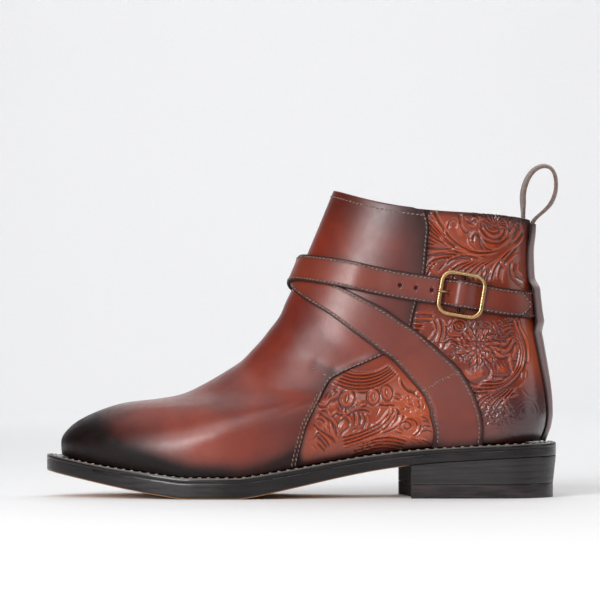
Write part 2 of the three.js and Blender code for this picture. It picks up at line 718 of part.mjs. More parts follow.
// The under strap rises from the outer welt, goes round the inner side and the back, and its end turns round
// the buckle's bar and back over itself.
function strapUnder() {
  const round = HIGH_LEG.slice(1).map(innerSide);
  const beyond = HIGH_LEG.slice(0, -1).reverse().slice(0, 6);
  const knots = [
    ...LOW_LEG.slice().reverse().map(outerSide),
    ...round,
    ...beyond.map((row) => ({ ...row, around: (2 + row.turn) * Math.PI })),
  ];
  const path = pathOver(knots);
  const bar = path.lengthTo((2 + BUCKLE_TURN) * Math.PI);
  const skive = bar - 2 * BUCKLE_LENGTH;
  const stops = [...overRidge(path), ...lengths(path.lengthTo(Math.PI) + RIDGE_REACH, skive, STRAP_STEP).slice(1)];
  const rows = stops.map((length) => flatRow(length, widen(path, length), REST, STRAP_THICKNESS));
  const climb = (length) => ease(length, bar - BUCKLE_LENGTH / 2, bar);
  const inside = BAR_WIRE / 2 + REST;
  const outside = inside + CHAPE_THICKNESS;
  for (const length of lengths(skive, bar, STRAP_STEP / 2).slice(1, -1)) {
    const thickness = blend(STRAP_THICKNESS, CHAPE_THICKNESS, ease(length, skive, bar - BUCKLE_LENGTH / 2));
    rows.push(flatRow(length, STRAP_WIDTH, blend(REST, BAR_STAND - outside, climb(length)), thickness));
  }
  for (const angle of range(TURN_ROWS, -Math.PI / 2, Math.PI / 2)) {
    const round = (radius) => ({
      length: bar + radius * Math.cos(angle),
      height: BAR_STAND + radius * Math.sin(angle),
    });
    rows.push({ width: STRAP_WIDTH, lower: round(outside), upper: round(inside) });
  }
  for (const length of lengths(bar, bar - CHAPE_TURN, STRAP_STEP / 2).slice(1)) {
    const under = blend(REST, BAR_STAND - outside, climb(length)) + CHAPE_THICKNESS + REST;
    const height = blend(under, BAR_STAND + inside, ease(length, bar - CHAPE_TURN, bar));
    rows.push({
      width: STRAP_WIDTH,
      lower: { length, height: height + CHAPE_THICKNESS },
      upper: { length, height },
    });
  }
  return { path, bar, strap: band(path, rows, { colour: STRAP_CALF }) };
}

// The over strap rises from the inner welt, crosses over the under strap at the ridge, and goes through the
// buckle to a pointed end.
function strapOver() {
  const knots = [
    ...LOW_LEG.slice().reverse().map(innerSide),
    ...HIGH_LEG.slice(1).map(outerSide),
  ];
  const path = pathOver(knots);
  const ridge = path.lengthTo(Math.PI);
  const bar = path.lengthTo(BUCKLE_TURN * Math.PI);
  const tip = path.lengthTo(TAIL_TURN * Math.PI);
  const layer = STRAP_THICKNESS + REST + GAP / 2;
  const overTurn = BAR_STAND + BAR_WIRE / 2 + REST + CHAPE_THICKNESS + REST;
  const overChape = 2 * REST + CHAPE_THICKNESS + GAP / 2;
  const half = BUCKLE_LENGTH / 2;
  const height = (length) => {
    const crossing = layer * (1 - ease(Math.abs(length - ridge), CROSSING_REACH, CROSSING_REACH + CROSSING_RAMP));
    const from = length - bar;
    const rise = ease(Math.abs(from), half - BUCKLE_WIRE, BAR_WIRE / 2);
    const hump = blend(from < 0 ? REST : overChape, overTurn, rise);
    const tail = (layer - overChape + REST) * ease(from, half, 2 * BUCKLE_LENGTH);
    return from < -half ? REST + crossing : hump + tail;
  };
  const point = (length) => blend(1, STRAP_TIP / STRAP_WIDTH, Math.max(length - tip + STRAP_POINT, 0) / STRAP_POINT);
  const stops = [
    ...overRidge(path),
    ...lengths(ridge + RIDGE_REACH, bar - half - 2, STRAP_STEP).slice(1),
    ...lengths(bar - half, bar + half, 2.35),
    ...lengths(bar + half + 4, tip - STRAP_POINT, STRAP_STEP),
    tip,
  ];
  const rows = stops.map((length) =>
    flatRow(length, widen(path, length) * point(length), height(length), STRAP_THICKNESS - GAP / 2),
  );
  return { path, bar, height, strap: band(path, rows, { colour: STRAP_CALF }) };
}

// The backstay covers the back seam and lifts over the strap that passes beneath it.
function backstay() {
  const knots = BACKSTAY.map((row) => ({ ...row, around: 0 }));
  const path = pathOver(knots);
  const strap = HIGH_LEG[HIGH_LEG.length - 1].level;
  const levelAt = curveThrough(knots, "level", { key: "none" });
  const middle = lengths(0, path.total, 1).reduce((best, length) =>
    Math.abs(path.across(length, 0).level - strap) < Math.abs(path.across(best, 0).level - strap) ? length : best,
  );
  const flat = STRAP_WIDTH / 2 + 1;
  const rows = lengths(0, path.total, 4.8).map((length) => {
    const over = 1 - ease(Math.abs(length - middle), flat, flat + BACKSTAY_RAMP);
    return flatRow(length, BACKSTAY_WIDTH * path.wide(length), REST + GAP / 2 + over * (STRAP_THICKNESS + REST), BACKSTAY_THICKNESS);
  });
  return band(path, rows, { points: 6, colour: DYED_CALF });
}

// A ribbon of leather bent into a loop over the back of the collar. Its legs follow the collar's curve.
function pullLoop() {
  const out = curveThrough(LOOP, "out", { key: "none" });
  const up = curveThrough(LOOP, "up", { key: "none" });
  const collar = facePoint(COLLAR, 0);
  const radius = (COLLAR_WIDTH / 2) ** 2 / (HEEL_WIDTH * ring.backTaper(COLLAR));
  const centre = (t) => new THREE.Vector3(collar.x + LOOP_DEPTH * out(t), 0, collar.z + LOOP_HEIGHT * up(t));
  const last = LOOP.length - 1;
  const rows = range(2 * last + 1, 0, last).map((t) => {
    const small = 0.01;
    const along = centre(Math.min(t + small, last)).sub(centre(Math.max(t - small, 0))).normalize();
    const normal = new THREE.Vector3(-along.z, 0, along.x);
    const curl = 1 - ease(up(t), 0, 0.35);
    const place = (share, side) => {
      const y = (share * LOOP_WIDTH) / 2;
      const bow = (-curl * y * y) / (2 * radius);
      return centre(t)
        .addScaledVector(normal, (side * LOOP_THICKNESS) / 2)
        .add(new THREE.Vector3(bow, collar.y + y, 0));
    };
    const shares = range(4, -1, 1);
    return [...shares.map((share) => place(share, -1)), ...shares.map((share) => place(share, 1)).reverse()];
  });
  return skin(rows, { colour: STRAP_CALF });
}

// The buckle lies in a plane over the strap: along it, across it, and out from it.
function buckleFrame(path, bar) {
  const spot = path.across(bar, 0);
  const origin = overFace(spot.level, spot.around, drape(spot.level, spot.around));
  const half = BUCKLE_LENGTH / 2;
  const place = (length) => {
    const at = path.across(length, 0);
    return overFace(at.level, at.around, drape(at.level, at.around));
  };
  const along = place(bar + half).sub(place(bar - half)).normalize();
  const out = faceFrame(spot.level, spot.around).out;
  out.addScaledVector(along, -out.dot(along)).normalize();
  const across = out.clone().cross(along);
  return (a, c, height) =>
    origin.clone().addScaledVector(along, a).addScaledVector(across, c).addScaledVector(out, height);
}

// A round wire swept through points. Its section keeps one face to the given direction.
function wire(points, diameter, { joined = false, sides = 6, facing }) {
  const n = points.length;
  const rows = points.map((point, i) => {
    const before = joined ? points[(i + n - 1) % n] : points[Math.max(i - 1, 0)];
    const after = joined ? points[(i + 1) % n] : points[Math.min(i + 1, n - 1)];
    const along = after.clone().sub(before).normalize();
    const side = along.clone().cross(facing).normalize();
    const up = side.clone().cross(along);
    return Array.from({ length: sides }, (_, k) => {
      const turn = (2 * Math.PI * (k + 0.5)) / sides;
      return point
        .clone()
        .addScaledVector(side, (diameter / 2) * Math.cos(turn))
        .addScaledVector(up, (diameter / 2) * Math.sin(turn));
    });
  });
  return skin(rows, { joined, colour: BRASS });
}

function buckle(place) {
  const facing = place(0, 0, 1).sub(place(0, 0, 0));
  const half = (BUCKLE_LENGTH - BUCKLE_WIRE) / 2;
  const tall = (BUCKLE_HEIGHT - BUCKLE_WIRE) / 2;
  const corners = [
    { a: 1, c: 1, from: 0 },
    { a: -1, c: 1, from: 1 },
    { a: -1, c: -1, from: 2 },
    { a: 1, c: -1, from: 3 },
  ];
  const outline = corners.flatMap(({ a, c, from }) =>
    range(5, 0, 1).map((t) => {
      const turn = ((from + t) * Math.PI) / 2;
      return place(
        a * (half - BUCKLE_CORNER) + BUCKLE_CORNER * Math.cos(turn),
        c * (tall - BUCKLE_CORNER) + BUCKLE_CORNER * Math.sin(turn),
        BUCKLE_STAND,
      );
    }),
  );
  const frame = wire(outline, BUCKLE_WIRE, { joined: true, sides: 8, facing });
  const ends = [place(0, -tall, BAR_STAND), place(0, tall, BAR_STAND)];
  const bar = wire(ends, BAR_WIRE, { sides: 8, facing });
  const whole = solidOf(frame.geometry).add(solidOf(bar.geometry));
  return { geometry: geometryOf(whole), colour: BRASS };
}

// The prong runs under the strap from beside the bar, up through its hole, and rests on the frame.
function prong(place) {
  const facing = place(0, 0, 1).sub(place(0, 0, 0));
  const start = -(BAR_WIRE / 2 + GAP + PRONG_WIRE / 2);
  const end = -BUCKLE_LENGTH / 2 - PRONG_WIRE / 4;
  const top = BUCKLE_STAND + BUCKLE_WIRE / 2 + PRONG_WIRE / 2 + GAP;
  const points = [
    place(start, 0, BAR_STAND),
    place(blend(start, PRONG_HOLE, 0.8), 0, BAR_STAND + GAP),
    place(blend(PRONG_HOLE, end, 0.25), 0, blend(BAR_STAND, top, 0.62)),
    place(blend(PRONG_HOLE, end, 0.6), 0, top),
    place(end, 0, top),
  ];
  return wire(points, PRONG_WIRE, { sides: 8, facing });
}

// A box in the buckle's frame, to cut a slot with.
function slotter(place, { from, to, half, low, high }) {
  const at = place((from + to) / 2, 0, (low + high) / 2);
  const origin = place(0, 0, 0);
  const axes = [place(1, 0, 0), place(0, 1, 0), place(0, 0, 1)].map((tip) => tip.sub(origin));
  const box = new THREE.BoxGeometry(to - from, 2 * half, high - low);
  box.applyMatrix4(new THREE.Matrix4().makeBasis(...axes));
  box.translate(at.x, at.y, at.z);
  return solidOf(box);
}

// A round rod between two points, to cut a hole with.
function drill(from, to, diameter) {
  const length = from.distanceTo(to);
  const rod = new THREE.CylinderGeometry(diameter / 2, diameter / 2, length, 10);
  const turn = new THREE.Quaternion().setFromUnitVectors(
    new THREE.Vector3(0, 1, 0),
    to.clone().sub(from).normalize(),
  );
  rod.applyQuaternion(turn);
  const middle = from.clone().lerp(to, 0.5);
  rod.translate(middle.x, middle.y, middle.z);
  return solidOf(rod);
}

add("outsole", outsole());
add("insole", insole());
add("welt", welt());
add("heel_stack", heelBlock(TOP_PIECE_THICKNESS + GAP, (x) => soleBottom(x) - REST, HEEL_RAKE, HEEL_BLACK));
add("top_piece", heelBlock(0, TOP_PIECE_THICKNESS, HEEL_RAKE, RUBBER));
add("upper", upper());

const under = strapUnder();
const over = strapOver();
const place = buckleFrame(over.path, over.bar);

// The prong's slots through both straps, and the round holes on from it.
const slot = { half: PRONG_WIRE / 2 + REST, low: 0, high: 4 * STRAP_THICKNESS + BUCKLE_STAND };
const turnSlot = slotter(place, { ...slot, from: -CHAPE_TURN / 2, to: GAP, low: BAR_STAND - BAR_WIRE });
const prongSlot = slotter(place, { ...slot, from: PRONG_HOLE - PRONG_HOLE_REACH, to: PRONG_HOLE + PRONG_HOLE_REACH });
const underSolid = solidOf(under.strap.geometry).subtract(turnSlot);
const overSolid = range(HOLES, 1, HOLES).reduce((solid, i) => {
  const spot = over.path.across(over.bar + PRONG_HOLE - i * HOLE_PITCH, 0);
  const low = overFace(spot.level, spot.around, -STRAP_THICKNESS);
  const high = overFace(spot.level, spot.around, slot.high);
  return solid.subtract(drill(low, high, STRAP_HOLE));
}, solidOf(over.strap.geometry).subtract(prongSlot));

add("strap_under", { geometry: geometryOf(underSolid), colour: STRAP_CALF });
add("strap_over", { geometry: geometryOf(overSolid), colour: STRAP_CALF });
add("backstay", backstay());
add("buckle_frame", buckle(place));
add("buckle_prong", prong(place));
add("pull_loop", pullLoop());

// The frame's origin is the middle of the whole boot's box, at the floor.
const box = new THREE.Box3().setFromObject(boot, true);
const middle = box.getCenter(new THREE.Vector3()).setZ(box.min.z);
for (const mesh of boot.children) mesh.geometry.translate(-middle.x, -middle.y, -middle.z);

export default boot;
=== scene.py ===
"""A left jodhpur boot, dressed: burnished calf, tooled quarters, crossing straps and a brass buckle.

Lengths are in millimetres and become metres when a mesh is made. The toe points to -X, and the outer side
faces -Y. A place on the upper is a level, 0 at the feather line and 13 at the collar, and a turn around the
last, 0 at the back seam, pi at the front ridge, and past pi on the inner side.
"""

import logging
from collections.abc import Callable
from dataclasses import dataclass, field
from enum import Enum

import bpy
import numpy as np
from mathutils import Euler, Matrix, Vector


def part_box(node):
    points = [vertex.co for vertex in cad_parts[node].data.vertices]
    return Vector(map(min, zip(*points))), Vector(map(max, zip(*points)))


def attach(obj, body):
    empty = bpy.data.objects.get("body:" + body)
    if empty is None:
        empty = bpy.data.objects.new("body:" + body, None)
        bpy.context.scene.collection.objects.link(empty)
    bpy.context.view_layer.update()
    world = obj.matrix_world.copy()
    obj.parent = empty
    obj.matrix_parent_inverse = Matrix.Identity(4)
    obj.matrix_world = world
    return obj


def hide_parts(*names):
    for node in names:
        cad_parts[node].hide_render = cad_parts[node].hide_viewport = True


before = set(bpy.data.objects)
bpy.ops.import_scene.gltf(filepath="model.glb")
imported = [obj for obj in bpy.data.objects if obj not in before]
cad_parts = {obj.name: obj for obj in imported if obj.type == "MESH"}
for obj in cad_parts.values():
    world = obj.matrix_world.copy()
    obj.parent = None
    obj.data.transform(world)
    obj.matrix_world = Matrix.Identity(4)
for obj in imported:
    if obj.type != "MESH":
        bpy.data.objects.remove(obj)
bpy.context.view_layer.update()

Array = np.ndarray
Surface = Callable[[Array], Array]
Material = bpy.types.Material
Socket = bpy.types.NodeSocket
MM = 0.001
SEED = 7
SHARP = 0.8
log = logging.getLogger("boot")


# Curves and easing


class Curve:
    """A cubic through the rows of a table: natural, or held so that it never swings past a row."""

    def __init__(self, at: Array, value: Array, hold: bool = False) -> None:
        """Fits the tangents.

        Args:
            at: where each row lies.
            value: the row's value there.
            hold: whether a flat stretch has to stay flat.
        """
        self.at = np.asarray(at, float)
        self.value = np.asarray(value, float)
        step = np.diff(self.at)
        slope = np.diff(self.value) / step
        self.tangent = self._held(slope) if hold else self._natural(step, slope)

    @staticmethod
    def _held(slope: Array) -> Array:
        """Harmonic means of the slopes on both sides, or 0 where they turn.

        Args:
            slope: the slopes between the rows.

        Returns:
            The tangents.
        """
        before, after = slope[:-1], slope[1:]
        total = np.where(before * after > 0, before + after, 1.0)
        inner = np.where(before * after > 0, 2 * before * after / total, 0.0)
        return np.concatenate([[slope[0]], inner, [slope[-1]]])

    @staticmethod
    def _natural(step: Array, slope: Array) -> Array:
        """Tangents of the natural cubic spline, from its three-term equations.

        Args:
            step: how far apart the rows are.
            slope: the slopes between them.

        Returns:
            The tangents.
        """
        n = len(slope) + 1
        system = np.zeros((n, n))
        right = np.zeros(n)
        system[0, :2] = 2, 1
        system[-1, -2:] = 1, 2
        right[0], right[-1] = 3 * slope[0], 3 * slope[-1]
        row = np.arange(1, n - 1)
        system[row, row - 1] = step[1:]
        system[row, row] = 2 * (step[1:] + step[:-1])
        system[row, row + 1] = step[:-1]
        right[1:-1] = 3 * (slope[:-1] * step[1:] + slope[1:] * step[:-1])
        return np.linalg.solve(system, right)

    def __call__(self, at: Array) -> Array:
        """The curve's value: a Hermite cubic between the two rows on either side.

        Args:
            at: where it is read.

        Returns:
            The value.
        """
        at = np.asarray(at, float)
        i = np.clip(np.searchsorted(self.at, at) - 1, 0, len(self.at) - 2)
        h = self.at[i + 1] - self.at[i]
        t = np.clip((at - self.at[i]) / h, 0, 1)
        u = 1 - t
        ends = self.value[i] * u * u * (1 + 2 * t) + self.value[i + 1] * t * t * (1 + 2 * u)
        return ends + h * (self.tangent[i] * t * u * u - self.tangent[i + 1] * t * t * u)


def ease(value: Array, start: float, end: float) -> Array:
    """0 up to start, 1 from end on, and smooth between."""
    t = np.clip((np.asarray(value, float) - start) / (end - start), 0, 1)
    return t * t * (3 - 2 * t)


def blend(a: Array, b: Array, share: Array) -> Array:
    """The value a share of the way from a to b."""
    return a + (b - a) * share


def round_off(share: Array) -> Array:
    """A quarter ellipse: 0 at an end, 1 from one taper away."""
    t = 1 - np.clip(share, 0, 1)
    return np.sqrt(np.maximum(1 - t * t, 0))


def bell(distance: Array, width: float) -> Array:
    """1 at distance 0, falling off smoothly over width."""
    return np.exp(-((distance / width) ** 2))


def unit(vectors: Array) -> Array:
    """Vectors of length 1."""
    return vectors / np.maximum(np.linalg.norm(vectors, axis=-1, keepdims=True), 1e-12)


# The last


@dataclass
class Last:
    """The foot's form: the sole's outline and heights, and the face of the upper over it."""

    sole_length: float = 305.4
    ball_width: float = 106
    heel_width: float = 71
    toe_taper: float = 92
    heel_taper: float = 33
    toe_spring: float = 15.5
    heel_lift: float = 24.6
    forepart_thickness: float = 9.1
    seat_thickness: float = 4.9
    welt_thickness: float = 3
    welt_reveal: float = 5.6
    seat_reveal: float = 3.6
    rest: float = 0.45
    toe_box_height: float = 42
    instep_rise: float = 55
    shaft_rise: float = 63
    back_rise: float = 132
    collar_dip: float = 4.7
    ankle_width: float = 67
    collar_width: float = 63
    side_swell: float = 2.4
    inner_taper: float = 0.92
    dip_from: float = 11
    dip_skew: float = 1.6
    collar: int = 13
    # at: share of the sole's length; lift of its bottom, as shares of toe spring and heel lift
    sole_line: tuple = (
        (0, 1, 0), (0.0491, 0.81, 0), (0.1078, 0.57, 0), (0.1665, 0.34, 0), (0.2233, 0.15, 0),
        (0.283, 0, 0), (0.3726, 0, 0), (0.4124, 0, 0.06), (0.4592, 0, 0.185), (0.5179, 0, 0.345),
        (0.5736, 0, 0.5), (0.6334, 0, 0.646), (0.6921, 0, 0.756), (0.7508, 0, 0.833),
        (0.8683, 0, 0.927), (1, 0, 1),
    )
    # at, share of the way from seat thickness to forepart thickness
    substance: tuple = (
        (0, 0.43), (0.1, 0.55), (0.2, 0.86), (0.3, 1), (0.4, 0.97), (0.5, 0.66), (0.63, 0.3),
        (0.8, 0.06), (1, 0),
    )
    # at, half widths as shares of the ball and heel widths, and the middle line's swing inwards
    outline: tuple = (
        (0, 0.93, 0, 0.13), (0.15, 0.965, 0, 0.095), (0.33, 1, 0, 0), (0.45, 0.72, 0.27, -0.055),
        (0.55, 0.35, 0.58, -0.1), (0.65, 0.08, 0.85, -0.09), (0.75, 0, 0.97, -0.05),
        (0.87, 0, 1, -0.02), (1, 0, 0.98, 0),
    )
    # front_at, toe, instep, shank, back_at, back, droop, front_taper, back_taper, shaft, swell
    rings: tuple = (
        (0.0293, 0.007, 0, 0, 0.9757, 0.002, 1, 0.276, 0.48, 0, 0),
        (0.0276, 0.155, 0, 0, 0.9811, 0.034, 0.93, 0.268, 0.48, 0, 0.55),
        (0.0309, 0.275, 0, 0, 0.9855, 0.061, 0.86, 0.266, 0.48, 0, 0.85),
        (0.0452, 0.422, 0, 0, 0.9884, 0.091, 0.78, 0.275, 0.49, 0, 1),
        (0.0763, 0.617, 0, 0, 0.99, 0.129, 0.68, 0.315, 0.5, 0, 1),
        (0.1385, 0.867, 0, 0, 0.9894, 0.182, 0.55, 0.37, 0.52, 0.05, 0.85),
        (0.2014, 1, 0, 0, 0.9875, 0.232, 0.45, 0.385, 0.54, 0.12, 0.65),
        (0.264, 1, 0.105, 0, 0.9843, 0.288, 0.36, 0.37, 0.56, 0.22, 0.4),
        (0.3262, 1, 0.275, 0, 0.9798, 0.352, 0.27, 0.335, 0.58, 0.36, 0.2),
        (0.386, 1, 0.495, 0, 0.9739, 0.432, 0.18, 0.29, 0.6, 0.54, 0.06),
        (0.4338, 1, 0.735, 0, 0.9671, 0.518, 0.1, 0.243, 0.62, 0.72, 0),
        (0.4676, 1, 1, 0, 0.9606, 0.61, 0.04, 0.208, 0.64, 0.88, 0),
        (0.5164, 1, 1, 0.5, 0.9539, 0.8, 0, 0.182, 0.64, 1, 0),
        (0.5626, 1, 1, 1, 0.9534, 1, 0, 0.172, 0.6, 1, 0),
    )
    # level, share of the way from back to front at which the vamp and front panel end
    panel: tuple = (
        (0, 0.511), (2.8, 0.511), (4.3, 0.5275), (5.4, 0.553), (6.9, 0.603), (7.4, 0.619),
        (7.75, 0.622), (8.3, 0.585), (8.8, 0.535), (9.25, 0.496), (10, 0.479), (11, 0.482),
        (11.7, 0.475), (12.3, 0.493), (12.75, 0.515), (13, 0.548),
    )

    def __post_init__(self) -> None:
        """Fits the curves, and finds where the frame's own outsole puts the last."""
        line, outline = np.array(self.sole_line), np.array(self.outline)
        substance, rings, panel = np.array(self.substance), np.array(self.rings), np.array(self.panel)
        self.sole_toe, self.sole_heel = (Curve(line[:, 0], line[:, k], hold=True) for k in (1, 2))
        self.fore = Curve(*substance.T, hold=True)
        self.ball_share, self.heel_share = (Curve(outline[:, 0], outline[:, k], hold=True) for k in (1, 2))
        self.swing = Curve(outline[:, 0], outline[:, 3])
        names = (
            "front_at", "toe", "instep", "shank", "back_at", "back", "droop", "front_taper",
            "back_taper", "shaft", "swell",
        )
        levels = np.arange(len(rings))
        self.ring = {name: Curve(levels, rings[:, i]) for i, name in enumerate(names)}
        self.panel_edge = Curve(*panel.T)
        low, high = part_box("outsole")
        self.x_shift = high[0] / MM - self.sole_length
        turns = np.linspace(0, np.pi, 361)
        reach = [self.edge_line(turns, side, 0)[1] for side in (-1, 1)]
        self.y_shift = (low[1] + high[1]) / 2 / MM - (reach[0].min() + reach[1].max()) / 2

    def sole_bottom(self, x: Array) -> Array:
        """Height of the outsole's bottom at x, measured from the toe."""
        at = x / self.sole_length
        return self.toe_spring * self.sole_toe(at) + self.heel_lift * self.sole_heel(at)

    def sole_top(self, x: Array) -> Array:
        """Height of the outsole's top at x."""
        thickness = blend(self.seat_thickness, self.forepart_thickness, self.fore(x / self.sole_length))
        return self.sole_bottom(x) + thickness

    def feather(self, x: Array) -> Array:
        """Height of the welt's top at x."""
        return self.sole_top(x) + self.rest + self.welt_thickness

    def square_half(self, x: Array) -> Array:
        """The sole's half width at x with both ends still square."""
        at = x / self.sole_length
        return (self.ball_share(at) * self.ball_width + self.heel_share(at) * self.heel_width) / 2

    def middle_line(self, x: Array) -> Array:
        """How far the sole's middle line swings inwards at x."""
        return self.swing(x / self.sole_length) * self.ball_width / 2

    def edge_line(self, turn: Array, side: Array, inset: Array) -> tuple[Array, Array]:
        """The sole's edge, before it is placed: a half width that both ends close as quarter ellipses.

        Args:
            turn: 0 at the toe, pi at the heel.
            side: -1 on the outer side, 1 on the inner.
            inset: how far it is drawn in.

        Returns:
            x from the toe, and y.
        """
        x = blend(inset, self.sole_length - inset, (1 - np.cos(turn)) / 2)
        half = (self.square_half(x) - inset) * round_off((x - inset) / (self.toe_taper - inset))
        half = half * round_off((self.sole_length - inset - x) / self.heel_taper)
        return x, self.middle_line(x) + side * half

    def place(self, x: Array, y: Array, z: Array) -> Array:
        """A point from x, measured from the toe, y and z, in the frame."""
        return np.stack(np.broadcast_arrays(x + self.x_shift, y + self.y_shift, z), axis=-1)

    def face(self, level: Array, around: Array) -> Array:
        """A point of the upper's face.

        Along a ring, x goes from back to front with (1 - cos around) / 2. Height blends between the ring's
        two ends and droops with the feather line. Width blends from the foot's to the shaft's, and each end
        closes as a quarter ellipse.

        Args:
            level: 0 at the feather line, 13 at the collar.
            around: 0 at the back seam, pi at the front ridge, past pi on the inner side.

        Returns:
            The point, in millimetres.
        """
        level, around = np.broadcast_arrays(np.asarray(level, float), np.asarray(around, float))
        ring = {name: curve(level) for name, curve in self.ring.items()}
        share = (1 - np.cos(around)) / 2
        side = np.where(np.sin(around) >= 0, -1.0, 1.0)
        back, front = self.sole_length * ring["back_at"], self.sole_length * ring["front_at"]
        front_foot = self.feather(front) + self.rest
        back_foot = self.feather(back) + self.rest
        front_z = (
            front_foot + self.toe_box_height * ring["toe"] + self.instep_rise * ring["instep"]
            + self.shaft_rise * ring["shank"]
        )
        back_z = back_foot + self.back_rise * ring["back"]
        x = blend(back, front, share)
        droop = ring["droop"] * (self.feather(x) + self.rest - blend(back_foot, front_foot, share))
        dip = np.maximum(level - self.dip_from, 0) / (self.collar - self.dip_from)
        dipped = self.collar_dip * dip * dip * np.sin(np.pi * share**self.dip_skew)
        z = blend(back_z, front_z, share) + droop - dipped
        shaft = ring["shaft"]
        shaft_half = blend(self.ankle_width, self.collar_width, ease(level, self.collar - 2, self.collar)) / 2
        reveal = blend(self.welt_reveal, self.seat_reveal, ease(x / self.sole_length, 0.4, 0.8))
        foot_half = self.square_half(x) - reveal + self.side_swell * ring["swell"]
        front_taper = self.sole_length * ring["front_taper"] * np.where(side < 0, 1, self.inner_taper)
        back_taper = self.heel_width * ring["back_taper"]
        rounding = round_off((x - front) / front_taper) * round_off((back - x) / back_taper)
        y = self.middle_line(x) * (1 - shaft) + side * blend(foot_half, shaft_half, shaft) * rounding
        return self.place(x, y, z)

    def slopes(self, level: Array, around: Array) -> tuple[Array, Array, Array]:
        """How the face runs at a point, from small steps on both sides of it.

        Args:
            level: the point's level.
            around: the point's turn.

        Returns:
            The change along around, the change along level, and the unit vector out of the face.
        """
        small = 0.004
        low, high = np.maximum(level - small, 0), np.minimum(level + small, self.collar)
        along_around = (self.face(level, around + small) - self.face(level, around - small)) / (2 * small)
        along_level = (self.face(high, around) - self.face(low, around)) / (high - low)[..., None]
        return along_around, along_level, unit(np.cross(along_level, along_around))

    def over(self, level: Array, around: Array, height: Array) -> Array:
        """A point over the face.

        Args:
            level: the level of the point below it.
            around: the turn of the point below it.
            height: its height, square to the face.

        Returns:
            The point.
        """
        level, around, height = np.broadcast_arrays(
            np.asarray(level, float), np.asarray(around, float), np.asarray(height, float)
        )
        return self.face(level, around) + self.slopes(level, around)[2] * height[..., None]

    def panel_turn(self, level: Array) -> Array:
        """The turn at which the front panel ends, on the outer side."""
        return np.arccos(1 - 2 * self.panel_edge(level))

    def ring_length(self, level: Array) -> Array:
        """The length of a ring from front to back."""
        return self.sole_length * (self.ring["back_at"](level) - self.ring["front_at"](level))


# Meshes


@dataclass
class Patch:
    """Part of a mesh: points, and faces as lists of point numbers.

    Attributes:
        points: one row a point, in millimetres.
        quads: one row a four-sided face.
        others: faces with any other number of sides.
        marks: named values, one a point, which the finishes read.
    """

    points: Array
    quads: Array
    others: list = field(default_factory=list)
    marks: dict[str, Array] = field(default_factory=dict)


def grid(points: Array, wrap_rows: bool = False, wrap_columns: bool = False, cap: bool = False,
         marks: dict[str, Array] | None = None) -> Patch:
    """A patch over a grid of points.

    Args:
        points: rows by columns by 3.
        wrap_rows: joins the last row to the first.
        wrap_columns: joins the last column to the first.
        cap: closes the first and last row, which are loops, with a face each.
        marks: values on the same grid.

    Returns:
        The patch, with the faces wound row by row.
    """
    rows, columns = points.shape[:2]
    index = np.arange(rows * columns).reshape(rows, columns)
    right = np.roll(index, -1, axis=1) if wrap_columns else index[:, 1:]
    left = index if wrap_columns else index[:, :-1]
    if wrap_rows:
        quads = np.stack([left, right, np.roll(right, -1, axis=0), np.roll(left, -1, axis=0)], axis=-1)
    else:
        quads = np.stack([left[:-1], right[:-1], right[1:], left[1:]], axis=-1)
    others = [index[0][::-1].tolist(), index[-1].tolist()] if cap else []
    flat = {
        name: np.broadcast_to(value, (rows, columns)).reshape(-1)
        for name, value in (marks or {}).items()
    }
    return Patch(points.reshape(-1, 3), quads.reshape(-1, 4), others, flat)


def tube(points: Array, marks: dict[str, Array] | None = None) -> Patch:
    """A closed tube over loops of points, one a row, with both ends capped."""
    return turned_out(grid(points, wrap_columns=True, cap=True, marks=marks))


def joined(patches: list[Patch]) -> Patch:
    """Several patches as one.

    Args:
        patches: what is joined. A mark that a patch lacks is 0 there.

    Returns:
        The whole.
    """
    names = sorted({name for patch in patches for name in patch.marks})
    starts = np.cumsum([0] + [len(patch.points) for patch in patches])
    quads = np.concatenate([patch.quads + start for patch, start in zip(patches, starts)])
    others = [
        [number + int(start) for number in face]
        for patch, start in zip(patches, starts)
        for face in patch.others
    ]
    marks = {
        name: np.concatenate([patch.marks.get(name, np.zeros(len(patch.points))) for patch in patches])
        for name in names
    }
    return Patch(np.concatenate([patch.points for patch in patches]), quads, others, marks)


def turned_out(patch: Patch, inside: Array | None = None, facing: float = 1) -> Patch:
    """The patch with its faces pointing out of the solid, or away from a point inside it.

    Args:
        patch: what is turned.
        inside: a point that an open sheet faces away from; a closed solid needs none.
        facing: -1 turns an open sheet towards the point instead.

    Returns:
        The same patch, turned if it had to be.
    """
    a, b, c, d = (patch.points[patch.quads[:, k]] for k in range(4))
    area = np.cross(c - a, d - b)
    origin = patch.points.mean(axis=0) if inside is None else inside
    if np.einsum("ij,ij->", area, (a + b + c + d) / 4 - origin) * facing < 0:
        patch.quads = patch.quads[:, ::-1]
        patch.others = [face[::-1] for face in patch.others]
    return patch


